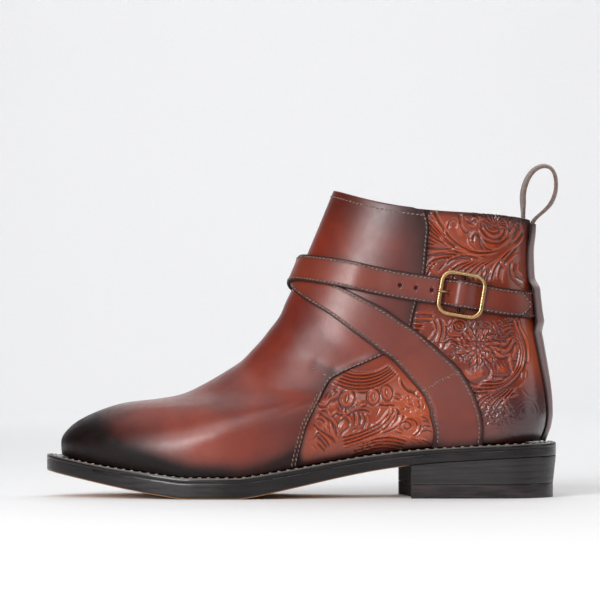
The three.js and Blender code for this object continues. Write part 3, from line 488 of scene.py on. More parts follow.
def mesh_piece(name: str, patch: Patch, material: Material) -> bpy.types.Object:
    """Makes a mesh object at the origin from a patch.

    Args:
        name: the piece's name.
        patch: its points, faces and marks.
        material: its finish.

    Returns:
        The object, linked to the scene.
    """
    mesh = bpy.data.meshes.new(name)
    sides = np.concatenate([np.full(len(patch.quads), 4), [len(face) for face in patch.others]]).astype(int)
    corners = np.concatenate([patch.quads.reshape(-1), *patch.others]).astype(int)
    mesh.vertices.add(len(patch.points))
    mesh.vertices.foreach_set("co", (patch.points * MM).astype(np.float32).reshape(-1))
    mesh.loops.add(len(corners))
    mesh.loops.foreach_set("vertex_index", corners)
    mesh.polygons.add(len(sides))
    mesh.polygons.foreach_set("loop_start", np.concatenate([[0], np.cumsum(sides)[:-1]]))
    mesh.polygons.foreach_set("use_smooth", np.ones(len(sides), bool))
    for mark, values in patch.marks.items():
        layer = mesh.attributes.new(mark, "FLOAT", "POINT")
        layer.data.foreach_set("value", np.asarray(values, np.float32))
    mesh.update(calc_edges=True)
    mesh.validate()
    mesh.set_sharp_from_angle(angle=SHARP)
    mesh.materials.append(material)
    piece = bpy.data.objects.new(name, mesh)
    bpy.context.scene.collection.objects.link(piece)
    log.info("%s: %d points, %d faces", name, len(patch.points), len(sides))
    return piece


class Slot(Enum):
    """The record's material slots."""

    CALF = "calf"
    STRAP = "strap_calf"
    LINING = "lining"
    SOLE = "sole_edge"
    HEEL = "heel"
    TOP_PIECE = "top_piece"
    BRASS = "brass"


def fit(name: str, patch: Patch, material: Material, slot: Slot, *nodes: str) -> None:
    """Makes a piece and fixes it to the boot.

    Args:
        name: the piece's name.
        patch: its points, faces and marks.
        material: its finish.
        slot: not used.
        nodes: the solids that it stands for.
    """
    piece = mesh_piece(name, patch, material)
    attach(piece, "root")
    if nodes:
        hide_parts(*nodes)


def resampled(points: Array, count: int) -> Array:
    """Even steps along a line of points.

    Args:
        points: the line.
        count: how many places to find.

    Returns:
        The places, as point numbers with fractions.
    """
    lengths = np.concatenate([[0], np.cumsum(np.linalg.norm(np.diff(points, axis=0), axis=1))])
    return np.interp(np.linspace(0, lengths[-1], count), lengths, np.arange(len(points)))


# Finishes


def tint(code: str) -> tuple[float, float, float, float]:
    """A colour written as six hex digits, as linear red, green, blue and 1."""
    values = np.array([int(code[i : i + 2], 16) / 255 for i in (0, 2, 4)])
    linear = np.where(values <= 0.04045, values / 12.92, ((values + 0.055) / 1.055) ** 2.4)
    return (*linear.tolist(), 1.0)


class Shader:
    """A material's nodes, made and linked by short calls."""

    def __init__(self, name: str) -> None:
        """Starts a material with its shader.

        Args:
            name: the material's name.
        """
        self.material = bpy.data.materials.new(name)
        self.material.use_nodes = True
        self.tree = self.material.node_tree
        self.surface = self.tree.nodes["Principled BSDF"]
        self.place = self.node("ShaderNodeTexCoord").outputs["Object"]

    def node(self, kind: str, **settings: object) -> bpy.types.Node:
        """A new node.

        Args:
            kind: its type.
            settings: its own settings.

        Returns:
            The node.
        """
        made = self.tree.nodes.new(kind)
        for name, value in settings.items():
            setattr(made, name, value)
        return made

    def feed(self, socket: Socket, value: object) -> None:
        """Gives a socket its value.

        Args:
            socket: where it goes in.
            value: a socket to link, or a number or colour to set.
        """
        if isinstance(value, Socket):
            self.tree.links.new(value, socket)
        else:
            socket.default_value = value

    def mark(self, name: str) -> Socket:
        """A value that the mesh carries."""
        return self.node("ShaderNodeAttribute", attribute_name=name).outputs["Fac"]

    def stretched(self, scale: tuple[float, float, float]) -> Socket:
        """Object coordinates, stretched.

        Args:
            scale: how much along each axis.

        Returns:
            The stretched place.
        """
        mapping = self.node("ShaderNodeMapping")
        self.feed(mapping.inputs["Vector"], self.place)
        mapping.inputs["Scale"].default_value = scale
        return mapping.outputs["Vector"]

    def noise(self, size_mm: float, detail: float = 4, rough: float = 0.5, vector: object = None,
              distort: float = 0) -> Socket:
        """Noise.

        Args:
            size_mm: how wide its blots are, about.
            detail: how many finer layers it has.
            rough: how strong they are.
            vector: coordinates other than the object's own.
            distort: how far it is swirled.

        Returns:
            The noise, from 0 to 1.
        """
        made = self.node("ShaderNodeTexNoise")
        self.feed(made.inputs["Vector"], vector or self.place)
        made.inputs["Scale"].default_value = 1 / (size_mm * MM)
        made.inputs["Detail"].default_value = detail
        made.inputs["Roughness"].default_value = rough
        made.inputs["Distortion"].default_value = distort
        return made.outputs["Fac"]

    def cells(self, size_mm: float) -> Socket:
        """Smooth distance in cells whose centres are about a size apart.

        Args:
            size_mm: the cells' size, in millimetres.

        Returns:
            The distance to the nearest cell's middle.
        """
        made = self.node("ShaderNodeTexVoronoi", feature="SMOOTH_F1")
        self.feed(made.inputs["Vector"], self.place)
        made.inputs["Scale"].default_value = 1 / (size_mm * MM)
        return made.outputs["Distance"]

    def level(self, value: object, low: float, high: float, to_low: float = 0,
              to_high: float = 1) -> Socket:
        """A value moved from one range to another, smoothly and clamped.

        Args:
            value: the value.
            low: where its range starts.
            high: where its range ends.
            to_low: what low becomes.
            to_high: what high becomes.

        Returns:
            The moved value.
        """
        made = self.node("ShaderNodeMapRange", interpolation_type="SMOOTHSTEP")
        self.feed(made.inputs["Value"], value)
        for name, number in {"From Min": low, "From Max": high, "To Min": to_low, "To Max": to_high}.items():
            made.inputs[name].default_value = number
        return made.outputs["Result"]

    def maths(self, operation: str, a: object, b: object) -> Socket:
        """Two values put together by an operation.

        Args:
            operation: Blender's name for the sum.
            a: its first input.
            b: its second.

        Returns:
            The result.
        """
        made = self.node("ShaderNodeMath", operation=operation)
        self.feed(made.inputs[0], a)
        self.feed(made.inputs[1], b)
        return made.outputs[0]

    def mix(self, share: object, a: object, b: object) -> Socket:
        """The colour a share of the way from a to b.

        Args:
            share: the share.
            a: the first colour.
            b: the second colour.

        Returns:
            The colour.
        """
        made = self.node("ShaderNodeMix", data_type="RGBA")
        self.feed(made.inputs[0], share)
        self.feed(made.inputs[6], a)
        self.feed(made.inputs[7], b)
        return made.outputs[2]

    def bump(self, height: object, depth_mm: float, under: object = None) -> Socket:
        """A bumped normal.

        Args:
            height: the surface, from 0 to 1.
            depth_mm: how high 1 stands.
            under: the normal that it is laid over.

        Returns:
            The normal.
        """
        made = self.node("ShaderNodeBump")
        made.inputs["Distance"].default_value = depth_mm * MM
        self.feed(made.inputs["Height"], height)
        if under is not None:
            self.feed(made.inputs["Normal"], under)
        return made.outputs["Normal"]

    def set(self, **values: object) -> None:
        """Sets or links the shader's own sockets, whose names have _ for a space."""
        for name, value in values.items():
            self.feed(self.surface.inputs[name.replace("_", " ")], value)


@dataclass(frozen=True)
class Calf:
    """Burnished calf: a dyed ground, antiqued darker and lighter where the marks say, some of the darkening
    painted shade, with a fine grain.

    Attributes:
        ground: the dye.
        dark: the burnished colour at edges and toe, and painted shade in creases, hollows and holes.
        warm: the dye where it was rubbed thin.
        grey: a greyer tone over the heel counter; on the backstay partly a painted sheen.
        gloss: roughness of the wax over it.
        coat: weight of that wax.
        coat_gloss: roughness of that wax.
        relief: how far the tooling is picked out, 1 on tooled leather.
        paste: the antique paste left in the tooling's cuts.
    """

    ground: str = "5d180c"
    dark: str = "110504"
    warm: str = "9c3614"
    grey: str = "38272d"
    gloss: float = 0.4
    coat: float = 0.7
    coat_gloss: float = 0.34
    grain_mm: float = 0.6
    grain_depth_mm: float = 0.07
    relief: float = 0
    paste: str = "46180f"

    def material(self, name: str) -> Material:
        """The finish as a material.

        Args:
            name: the material's name.

        Returns:
            The material.
        """
        shader = Shader(name)
        cloud = shader.noise(38, 4, 0.5, distort=0.4)
        spots = shader.noise(4.5, 6, 0.62)
        edge = shader.mark("edge")
        colour = shader.mix(shader.level(cloud, 0.34, 0.68, 0, 0.34), tint(self.ground), tint(self.warm))
        colour = shader.mix(shader.mark("warm"), colour, tint(self.warm))
        colour = shader.mix(shader.level(spots, 0.5, 0.72, 0, 0.1), colour, tint(self.dark))
        colour = shader.mix(shader.mark("grey"), colour, tint(self.grey))
        # worn: the marked burnishing and painted shade, with a little of the cloud
        worn = shader.maths("ADD", shader.mark("burnish"), shader.level(cloud, 0.3, 0.7, 0.07, -0.05))
        if self.relief:
            relief = shader.mark("relief")
            raised, cut = (
                shader.level(relief, 0.02, 0.4, 0, 0.6 * self.relief),
                shader.level(relief, -0.4, -0.02, 0.85 * self.relief, 0),
            )
            colour = shader.mix(cut, shader.mix(raised, colour, tint(self.warm)), tint(self.paste))
        # darker where worn is high: burnishing, and painted shade in creases, hollows and holes
        colour = shader.mix(shader.level(worn, 0.02, 1), colour, tint(self.dark))
        colour = shader.mix(edge, colour, tint(self.dark))
        grain = shader.cells(self.grain_mm)
        fine = shader.noise(0.35, 3, 0.6)
        pores = shader.maths("ADD", grain, shader.maths("MULTIPLY", fine, 0.5))
        uneven = shader.bump(shader.noise(9, 3, 0.5), 0.12)
        gloss = shader.level(spots, 0.3, 0.7, self.gloss - 0.05, self.gloss + 0.1)
        shader.set(
            Base_Color=colour,
            Roughness=shader.maths("ADD", gloss, shader.maths("MULTIPLY", edge, 0.35)),
            Coat_Weight=shader.level(shader.maths("ADD", edge, worn), 0.3, 1.1, self.coat, 0),
            Coat_Roughness=self.coat_gloss,
            Specular_IOR_Level=0.26,
            Normal=shader.bump(pores, self.grain_depth_mm, uneven),
        )
        return shader.material


@dataclass(frozen=True)
class Inked:
    """A cut edge inked black and burnished, with the natural sole leather, a painted highlight and painted
    shade where the marks say.

    Attributes:
        ground: the ink.
        worn: the ink where it is thin.
        pale: a painted highlight along the welt's top edge.
        tan: the natural sole leather.
    """

    ground: str = "0d0a0b"
    worn: str = "1f1516"
    pale: str = "8d857f"
    tan: str = "b98555"
    gloss: float = 0.3
    coat: float = 0.22

    def material(self, name: str) -> Material:
        """The finish as a material.

        Args:
            name: the material's name.

        Returns:
            The material.
        """
        shader = Shader(name)
        streaks = shader.noise(5, 5, 0.65, shader.stretched((0.25, 0.25, 3)))
        colour = shader.mix(shader.level(streaks, 0.4, 0.7), tint(self.ground), tint(self.worn))
        # pale: a painted highlight along the welt's top edge
        colour = shader.mix(shader.mark("pale"), colour, tint(self.pale))
        colour = shader.mix(shader.mark("tan"), colour, tint(self.tan))
        # the heel's breast mark: painted shade, the breast made ink-dark and matte
        painted_breast_shade = shader.mark("edge")
        gloss = shader.level(streaks, 0.3, 0.7, self.gloss - 0.06, self.gloss + 0.14)
        shader.set(
            Base_Color=shader.mix(painted_breast_shade, colour, tint(self.ground)),
            Roughness=shader.maths("ADD", gloss, shader.maths("MULTIPLY", painted_breast_shade, 0.5)),
            Specular_IOR_Level=shader.level(painted_breast_shade, 0, 1, 0.3, 0.12),
            Coat_Weight=shader.level(painted_breast_shade, 0, 1, self.coat, 0),
            Normal=shader.bump(streaks, 0.04),
        )
        return shader.material


@dataclass(frozen=True)
class AntiqueBrass:
    """Brass, bright on the face of the wire and darkened at its sides."""

    bright: str = "b89468"
    dark: str = "2e1e10"
    gloss: float = 0.27

    def material(self, name: str) -> Material:
        """The finish as a material.

        Args:
            name: the material's name.

        Returns:
            The material.
        """
        shader = Shader(name)
        blots = shader.noise(3, 5, 0.6)
        face = shader.maths("ADD", shader.mark("rim"), shader.level(blots, 0.3, 0.7, -0.25, 0.1))
        shader.set(
            Base_Color=shader.mix(shader.level(face, 0.1, 0.8), tint(self.dark), tint(self.bright)),
            Metallic=1.0,
            Roughness=shader.level(blots, 0.3, 0.7, self.gloss - 0.05, self.gloss + 0.12),
            Normal=shader.bump(shader.noise(0.8, 4, 0.6), 0.02),
        )
        return shader.material


@dataclass(frozen=True)
class Plain:
    """One even stuff, such as thread, lining or rubber, with noise in its colour and surface.

    Attributes:
        ground: its colour.
        other: the colour that it varies to.
        gloss: its roughness.
        blot_mm: how wide its colour changes are.
        grain_mm: how wide its surface grain is.
        depth_mm: how deep the grain is.
        fuzz: weight of a soft nap.
    """

    ground: str
    other: str
    gloss: float = 0.5
    blot_mm: float = 4
    grain_mm: float = 0.5
    depth_mm: float = 0.05
    fuzz: float = 0

    def material(self, name: str) -> Material:
        """The finish as a material.

        Args:
            name: the material's name.

        Returns:
            The material.
        """
        shader = Shader(name)
        blots = shader.noise(self.blot_mm, 5, 0.6)
        grain = shader.noise(self.grain_mm, 4, 0.65)
        colour = shader.mix(shader.level(blots, 0.35, 0.65), tint(self.ground), tint(self.other))
        shader.set(
            Base_Color=colour,
            Roughness=shader.level(blots, 0.3, 0.7, self.gloss - 0.06, self.gloss + 0.08),
            Sheen_Weight=self.fuzz,
            Normal=shader.bump(grain, self.depth_mm),
        )
        return shader.material


# Thread


@dataclass(frozen=True)
class Thread:
    """A row of stitches, each a small capsule laid a little askew along its row.

    Attributes:
        pitch: from one stitch to the next.
        length: how long a stitch shows.
        width: how thick the thread is.
        stand: how far it stands out.
        slant: how far each stitch turns off the row, as a share of its length.
    """

    pitch: float = 2.6
    length: float = 1.9
    width: float = 0.8
    stand: float = 0.42
    slant: float = 0.2

    def row(self, line: Array, out: Array) -> Patch:
        """The stitches along a line.

        Args:
            line: close points of the row on the leather.
            out: the way out of the leather at each.

        Returns:
            Capsules of five rings of six points: the rings' size and place follow a half round at each end.
        """
        count = max(int(np.linalg.norm(np.diff(line, axis=0), axis=1).sum() / self.pitch), 2)
        index = resampled(line, count)
        at = np.arange(len(line))
        spot, way, up = (
            np.stack([np.interp(index, at, value[:, k]) for k in range(3)], axis=1)
            for value in (line, np.gradient(line, axis=0), out)
        )
        up = unit(up)
        along = unit(way - up * (way * up).sum(1, keepdims=True))
        side = np.cross(up, along)
        along = unit(along + self.slant * side)
        side = np.cross(up, along)
        place, size = np.array([-1, -0.8, 0, 0.8, 1]), np.array([0.35, 0.85, 1, 0.85, 0.35])
        turn = np.linspace(0, 2 * np.pi, 7)[:-1]
        sideways, upwards = np.cos(turn)[:, None] * self.width / 2, np.sin(turn)[:, None] * self.stand
        round_it = side[:, None] * sideways + up[:, None] * upwards
        points = (
            spot[:, None, None] + along[:, None, None] * (place * self.length / 2)[:, None, None]
            + round_it[:, None] * size[:, None, None]
        )
        number = np.arange(count * 30).reshape(count, 5, 6)
        beside = np.roll(number, -1, axis=2)
        walls = np.stack([number[:, :-1], beside[:, :-1], beside[:, 1:], number[:, 1:]], axis=-1)
        first, last = number[:, 0, ::-1], number[:, -1]
        ends = [cap[:, picked] for cap in (first, last) for picked in ([0, 1, 2, 3], [0, 3, 4, 5])]
        return turned_out(Patch(points.reshape(-1, 3), np.concatenate([walls.reshape(-1, 4), *ends])))


# Tooling


@dataclass(frozen=True)
class Tool:
    """A tool's mark: half its width in chart steps, and its height in millimetres, below 0 for a cut."""

    width: float
    height: float


RIDGE = Tool(0.78, 0.66)
GROOVE = Tool(0.8, -0.6)
HAIR = Tool(0.6, -0.36)
DOT = Tool(0.85, -0.5)
PILLOW = Tool(3.6, 0.34)


def wave(*numbers: float) -> Array:
    """A smooth line through points given as x, y, x, y and so on: a natural cubic in each direction.

    Args:
        numbers: the points, across and down.

    Returns:
        The line, in 16 steps from point to point.
    """
    points = np.array(numbers, float).reshape(-1, 2)
    index = np.arange(len(points))
    t = np.linspace(0, index[-1], 16 * index[-1] + 1)
    if len(points) == 2:
        return blend(points[0], points[1], t[:, None])
    return np.stack([Curve(index, points[:, k])(t) for k in (0, 1)], axis=1)


def drawn(chart: str) -> list[Array]:
    """Smooth lines through points written as x y x y and so on, parted by semicolons."""
    return [wave(*map(float, stroke.split())) for stroke in chart.split(";")]


def arc(x: float, y: float, wide: float, tall: float, start: float = 0, end: float = 360,
        tilt: float = 0, wide_end: float | None = None) -> Array:
    """Part of an oval, or of a spiral where its size ends otherwise.

    Args:
        x: the middle, across.
        y: the middle, down.
        wide: half its width.
        tall: half its height.
        start: where it starts, in degrees clockwise from the right.
        end: where it ends.
        tilt: how far the whole is turned, in degrees.
        wide_end: half its width at its end.

    Returns:
        The line's points.
    """
    turn = np.radians(np.linspace(start, end, max(int(abs(end - start) / 6), 6)))
    size = np.linspace(1, 1 if wide_end is None else wide_end / wide, len(turn))
    a, b = wide * size * np.cos(turn), tall * size * np.sin(turn)
    c, s = np.cos(np.radians(tilt)), np.sin(np.radians(tilt))
    return np.stack([x + a * c - b * s, y + a * s + b * c], axis=1)


def between(first: Array, last: Array, count: int) -> list[Array]:
    """Lines that pass evenly from one line to another, both included."""
    return [blend(first, last, share) for share in np.linspace(0, 1, count)]


def rays(x: float, y: float, near: float, far: float, start: float, end: float, count: int,
         flat: float = 1, bend: float = 0) -> list[Array]:
    """Strokes that spread from a middle.

    Args:
        x: the middle, across.
        y: the middle, down.
        near: how far from it the strokes start.
        far: how far from it they end.
        start: the first one's direction, in degrees.
        end: the last one's direction.
        count: how many there are.
        flat: how far they are pressed flat, 1 for not at all.
        bend: how far each one turns, in degrees.

    Returns:
        The strokes.
    """
    reach = np.linspace(near, far, 9)
    lines = []
    for turn in np.radians(np.linspace(start, end, count)):
        swung = turn + np.radians(bend) * (reach - near) / (far - near)
        lines.append(np.stack([x + reach * np.cos(swung), y + flat * reach * np.sin(swung)], axis=1))
    return lines


class Tooling:
    """The flowers and leaves tooled into the quarters, drawn on a chart of the boot's side.

    The chart counts steps backwards from above the vamp and down from above the collar. Ridges and pillows
    stand up, grooves, hair lines and dots are cut in.

    Attributes:
        step: one step of the chart, in millimetres.
        origin: where its first corner lies on the boot, x and z.
        size: how many steps it covers, across and down.
        cell: how fine it is carved, in steps.
        groove_beside: how far from its ridge a groove runs.
        spacing: how far apart a line's marks are pressed.
        taper: how much of a stroke's end thins out.
    """

    step = 0.5886
    origin = (-1.67, 175.7)
    size = (260, 270)
    cell = 0.3
    groove_beside = 1.9
    spacing = 0.3
    taper = 2.5

    def __init__(self) -> None:
        """Draws every stroke and carves them."""
        self.strokes: list[tuple[Tool, Array]] = []
        for form in (
            self.sprays, self.front_leaves, self.rose, self.ankle_lines, self.collar_comb,
            self.collar_scrolls, self.fillings, self.heel_swirls,
        ):
            form()
        self.field = self.carve()

    def draw(self, tool: Tool, chart: str) -> None:
        """Strokes of one tool, as drawn takes them."""
        self.lines(tool, drawn(chart))

    def ridges(self, chart: str) -> None:
        """Ridges, each with a groove beside it.

        The groove is the ridge's line moved square to itself, to the side that lies lower on the chart.

        Args:
            chart: the ridges, as drawn takes them.
        """
        for line in drawn(chart):
            along = np.gradient(line, axis=0)
            across = np.stack([-along[:, 1], along[:, 0]], axis=1)
            across = unit(across) * np.where(across[:, 1:] < 0, -1, 1)
            self.lines(RIDGE, line)
            self.lines(GROOVE, line + self.groove_beside * across)

    def comb(self, first: Array, last: Array, count: int) -> None:
        """Ridges that pass evenly from one line to another, with a groove midway between each two."""
        self.lines(RIDGE, between(first, last, count))
        self.lines(GROOVE, between(first, last, 2 * count - 1)[1::2])

    def lines(self, tool: Tool, *lines: Array | list[Array]) -> None:
        """Strokes of one tool."""
        for line in lines:
            self.strokes += [(tool, part) for part in (line if isinstance(line, list) else [line])]

    def bud(self, x: float, y: float, wide: float, tall: float, tilt: float) -> None:
        """A bud: a pillow inside an oval groove, with a raised rim and a slit.

        Args:
            x: its middle, across.
            y: its middle, down.
            wide: half its width.
            tall: half its height.
            tilt: how far it is turned, in degrees.
        """
        self.lines(PILLOW, arc(x, y, wide * 0.35, tall * 0.4, tilt=tilt))
        self.lines(GROOVE, arc(x, y, wide, tall, tilt=tilt))
        self.lines(RIDGE, arc(x, y, wide * 0.66, tall * 0.66, tilt=tilt))
        self.lines(GROOVE, arc(x, y, wide * 0.2, tall * 0.42, tilt=tilt))

    def sprays(self) -> None:
        """Combed arcs and buds under the flap of the vamp."""
        low, high, first, last = drawn("""
            33 184 44 188.5 56 190.5 68 190 80 186.5 91 180 98 174;
            46 170 52 172.5 58 173.5 65 173.5 74 172 82 169 89 165;
            44 172 51 174.5 58 175.5 65 175.5 74 174 82 171 90 166;
            36 182.8 46 186.5 57 188.5 68 188 80 184.5 90 178.5 97 173""")
        self.lines(RIDGE, between(high, low, 6))
        self.lines(GROOVE, between(first, last, 5))
        self.lines(DOT, [wave(x, 170.5, x + 1, 171.5) for x in (58, 62, 66, 70, 74, 78)])
        self.bud(48, 198, 8, 9.6, 14)
        self.bud(74, 196.5, 6.6, 8.4, 0)
        self.bud(87.5, 192.5, 6, 8, -12)
        self.draw(GROOVE, """
            19 205 24 207 28 205 31 201 38 198 43 193 44 188.5; 26 197 29 192 32 190; 29 197 33 192; 35
            185.5 40 187.5; 33 188 38 190; 102 180 104 185 109 190 116 192; 58 190.5 63 192 69 191""")
        self.draw(RIDGE, "19 202.5 24 204.5 28 202 31 198 37 195 41 191; 100 178 101.5 186 107 192 115 195")
        self.draw(PILLOW, "104 199 112 203; 56 200 61 203; 30 206 36 204")

    def front_leaves(self) -> None:
        """The rippled ridge under the buds, and the curled leaves and long veins below it."""
        self.lines(GROOVE, arc(107, 226.5, 6.5, 5.5, 180, 560, wide_end=1.6))
        self.lines(RIDGE, arc(107, 226.5, 8.6, 7.4, 150, 430, wide_end=5))
        self.comb(*drawn("42 236 55 233 68 228 80 221 89 211; 44 247 60 242 74 236.5 88 229 97 215"), 4)
        self.comb(*drawn("64 243 80 237 95 237 108 241; 52 254 66 250 84 247 101 250"), 4)
        for x in (0, 8, 16):
            self.lines(RIDGE, wave(100 + x, 236 + x / 6, 108 + x, 238 + x / 8, 114 + x, 243))
        self.dots(63, 86, 223, 231, 34)
        self.ridges("""
            20 210 25 208.5 29 211 32 214.5 37 211.5 42 213 48 213 53 210 61 207.8 68 208.5 72 211; 77 205
            81 203 88 203.5 94 203 97 205; 98 207 101 211 102 217 98 224 90 229 80 232; 105 218 110 217 116
            219 119.5 224 118 231 113 235; 121 215 125 215.5 129 218 131 222; 16 218 20 216.5 25 219 28 223;
            41 220 43 217 46 215.8 49.5 217.5 51 221; 15 234 18.5 231 22 233 28 239 32 246""")
        self.draw(RIDGE, """
            96 210 96 216 91 222 83 226; 92 208 90 214 85 219 78 222; 27 213 33 218.5 37 226 39 235; 15
            226.5 20 232 27 237 32 242; 31 223 33 230 36 239; 34.5 228 36 234 39 241; 40.5 229 43 224.5 46
            222.5; 44 234 48 231 51 226; 57 213 57.5 219 57 225; 64 213.5 68 219 67 226 62 231; 15 241 19
            241 24 248; 12 246 17 251""")
        self.draw(GROOVE, """
            98 211 98.5 217 93 224 85 228.5; 94 209 93 215 88 220.5 80 224.5; 122 222 126 221 131 224; 122
            228 127 226 132 228; 121 233 127 231 133 233; 20 212 26 217 32 221 36 228 37.5 236; 14 223 19
            229 27 234 33 238 36 243; 32.5 222 35 230 37.8 238; 38 233 38 226 41 221 46 218.6 49.5 221.5 49
            227 44.5 231 41 235; 53 211.5 55.5 217 55 225; 59 214 61.5 219 60 225; 62.5 212 66 218 65 225 61
            229; 14 238 18 236.5 22 240 28 248; 18 243 22 247 26 252""")
        self.draw(HAIR, "80 218 86 210 90 206; 76 216 79 210 80 207")
        self.draw(PILLOW, "44 224 45 228; 24 224 28 229; 112 210 116 213")

    def dots(self, left: float, right: float, top: float, bottom: float, count: int) -> None:
        """Stippling with seeded places.

        Args:
            left, right, top, bottom: the box that it fills.
            count: how many dots.
        """
        spots = np.random.default_rng(SEED + count).uniform((left, top), (right, bottom), (count, 2))
        self.lines(DOT, [wave(x, y, x + 0.6, y + 0.3) for x, y in spots])

    def petals(self, x: float, y: float, near: float, far: float, count: int, start: float) -> None:
        """A ring of pointed petals: each is outlined, ridged inside its outline and veined.

        A petal's half width swells as the sine of the way along it. Every other petal is a little shorter.

        Args:
            x: the ring's middle, across.
            y: the ring's middle, down.
            near: how far from it the petals start.
            far: how far from it they end.
            count: how many there are.
            start: the first one's direction, in degrees.
        """
        way = np.linspace(0, 1, 14)
        for number in range(count):
            turn = np.radians(start + 360 * number / count + 5 * np.sin(2.4 * number))
            reach = blend(near, far * (1 - 0.1 * (number % 2)), way)
            half = np.pi * near * 1.1 / count * np.sin(np.pi * (0.12 + 0.88 * way)) ** 0.8
            for tool, size in ((GROOVE, 1.0), (GROOVE, -1.0), (RIDGE, 0.45), (RIDGE, -0.45)):
                a, b = reach * (0.94 if abs(size) < 1 else 1), half * size + 1.2 * way**2
                c, s = np.cos(turn), np.sin(turn)
                self.lines(tool, np.stack([x + a * c - b * s, y + 0.86 * (a * s + b * c)], axis=1))

    def rose(self) -> None:
        """The large open flower behind the straps, with combed petals round its heart."""
        for near, far, count, start in ((14, 25, 15, 8), (8, 16, 11, 20), (3.5, 9, 8, 0)):
            self.petals(179, 146, near, far, count, start)
        self.lines(DOT, [arc(180, 145, 2.4, 2.2)])
        self.dots(168, 196, 122, 142, 60)
        self.lines(HAIR, rays(197, 141, 3, 13, 250, 340, 6, 1, 20))
        self.draw(PILLOW, "164 172 172 176 182 172; 197 153 205 155; 200 168 207 170")
        self.draw(GROOVE, """
            158 168 165 178 172 183 178 183 184 179 189 176 190 170 186 164 187 160; 192 150 196 156 205 158
            209 157 210 166 212 174 206 176 197 176 191 174; 193 152 198 150 204 154 210 152.5 215 147 219
            139; 192 144 201 145.6 208 146 214 139; 194 139 201 140 207 139 211 133""")
        self.draw(RIDGE, """
            156 171 164 181 172 186 179 186 186 181.5 191.5 178 193 170; 194 148 199 153 206 155 211.5 154
            212.5 164 215 175 207 179 196 179; 192 146 200 148 207 150 213 145 217 137; 193 142 201 143 208
            143 213 136""")
        self.draw(HAIR, """
            170 165 172 170; 174 163 175 172; 178 164 178 170; 182 163 181 168; 192 163 195 170; 196 161 198
            172; 200 163 203 168; 203 160 206 166""")

    def ankle_lines(self) -> None:
        """Bars and contours beside the panel, the small flower, and the bands that sweep round the rose."""
        self.lines(GROOVE, arc(160, 126, 5.6, 5.2), arc(160, 126, 2, 2))
        self.lines(RIDGE, arc(160, 126, 3.7, 3.4), arc(160, 126, 7.4, 6.6, 150, 330))
        first, last = drawn("""
            170 191 185 191 200 188 212 181 221 172 226 162 227 150 224 140 221 134;
            184 183.5 193 183.5 204 182 213 175 219 166 221.5 157 222 149 220 142 217 138""")
        self.comb(first, last, 3)
        self.lines(GROOVE, first + [1.5, 1.9], last + [-1.2, -1.8], arc(217, 156, 3.4, 4.2, -60, 200))
        self.comb(*drawn("172 206 180 198 190 193 199 190; 200 210 205 202 210 196 218 187"), 6)
        self.dots(180, 212, 203, 216, 46)
        self.ridges("145 121 148 125 153 119; 149 130 151 135 160 135.5 164.5 140 166 147")
        self.draw(RIDGE, """
            116 113 125 112.5 134 113; 115 118.5 125 118.5 134 118.5; 114 123.5 119 123.8 124 124; 114 128
            120 128.5 124 128.5; 116 132 121 133; 132 120 135.5 127 133 135 127 141; 138 119 140.5 130 137
            142; 144 120 145 131 141.5 145; 141 149 145 141.5 151.5 137.8 159 141 164 151; 147 148.5 152 143
            157 145.5; 208 161 213 158.5 217 151 218 144; 229 170 227 180 220 187; 206 196 205 203 210 209;
            211 212 206 216; 222 119 224 128 229 137 232 150 232 163; 217 119 219 126 222 132""")
        self.draw(GROOVE, """
            116 115.3 125 115 134 115.5; 115 121 125 120.8 133 121.5; 114 125.8 119 126 124 126.2; 114 130.4
            120 131; 134 120 137.5 128 135 137 129 144; 141 119 143 130 139.5 144; 147 126 147.5 134 144
            146; 143 150 147 143 152 140 158 143 162 151; 150 147 154 144.8 159 149; 219.5 119 221.5 127 226
            136 229.5 150 229.5 163""")
        self.draw(HAIR, "172 196 180 194 190 191; 204 208 208 202 207 195")

    def collar_comb(self) -> None:
        """The long combed leaf under the collar: its tips reach the front panel and its stem runs back."""
        *tips, stem = drawn("""
            130 15 138 27 147 38; 129 21 137 30 146 39; 129 26 137 33.5 146 40; 129 31 137 37 146 42;
            128.5 36 137 41 147 45; 124 50 138 51 150 49.5 160 50 170 52""")
        self.lines(RIDGE, tips, stem)
        self.lines(GROOVE, [tip + [0.4, 2.1] for tip in tips], stem + [0, self.groove_beside])
        self.comb(*drawn("""
            150 70 160 63.5 172 60 184 57.6 198 53 210 45;
            177 80 184 70 191 63 200 57.5 210 49 218 42"""), 6)
        self.lines(RIDGE, arc(131, 63, 2.2, 1.8))
        self.ridges("""
            140 37 148 44 158 50 170 53.5 184 54.5 196 52 207 45 216 37; 146 26 152 36 162 44 174 49.5 188
            50.5 199 48 209 41 217 33; 126 66 131 60 138 57 146 55.5 156 55; 146 63 152 58 162 54.5 174 54.8
            186 58; 126 75 130 66 136 61""")
        self.draw(GROOVE, """
            135 11 142 24 150.5 36 160 44.6 171 50; 127 42.6 137 45.2 146 47; 126 47 138 48 150 48.4 156 46
            152 43.5; 124 56 138 54 152 54 170 57; 140 70 147 62 156 58.5 168 57.5 172 60 166 63 156 66""")
        self.draw(RIDGE, """
            132 12 139 24 148 36 158 45 170 51; 138 11 145 24 153 36 162 44 172 49;
            127 40.5 137 43.5 147 46.5 153 47; 127 45 140 45.5 150 47.5; 125 54 138 51.8 152 52 170 55 186
            57; 126 72 132 70 138 73; 124 68 130 64.5 136 66""")

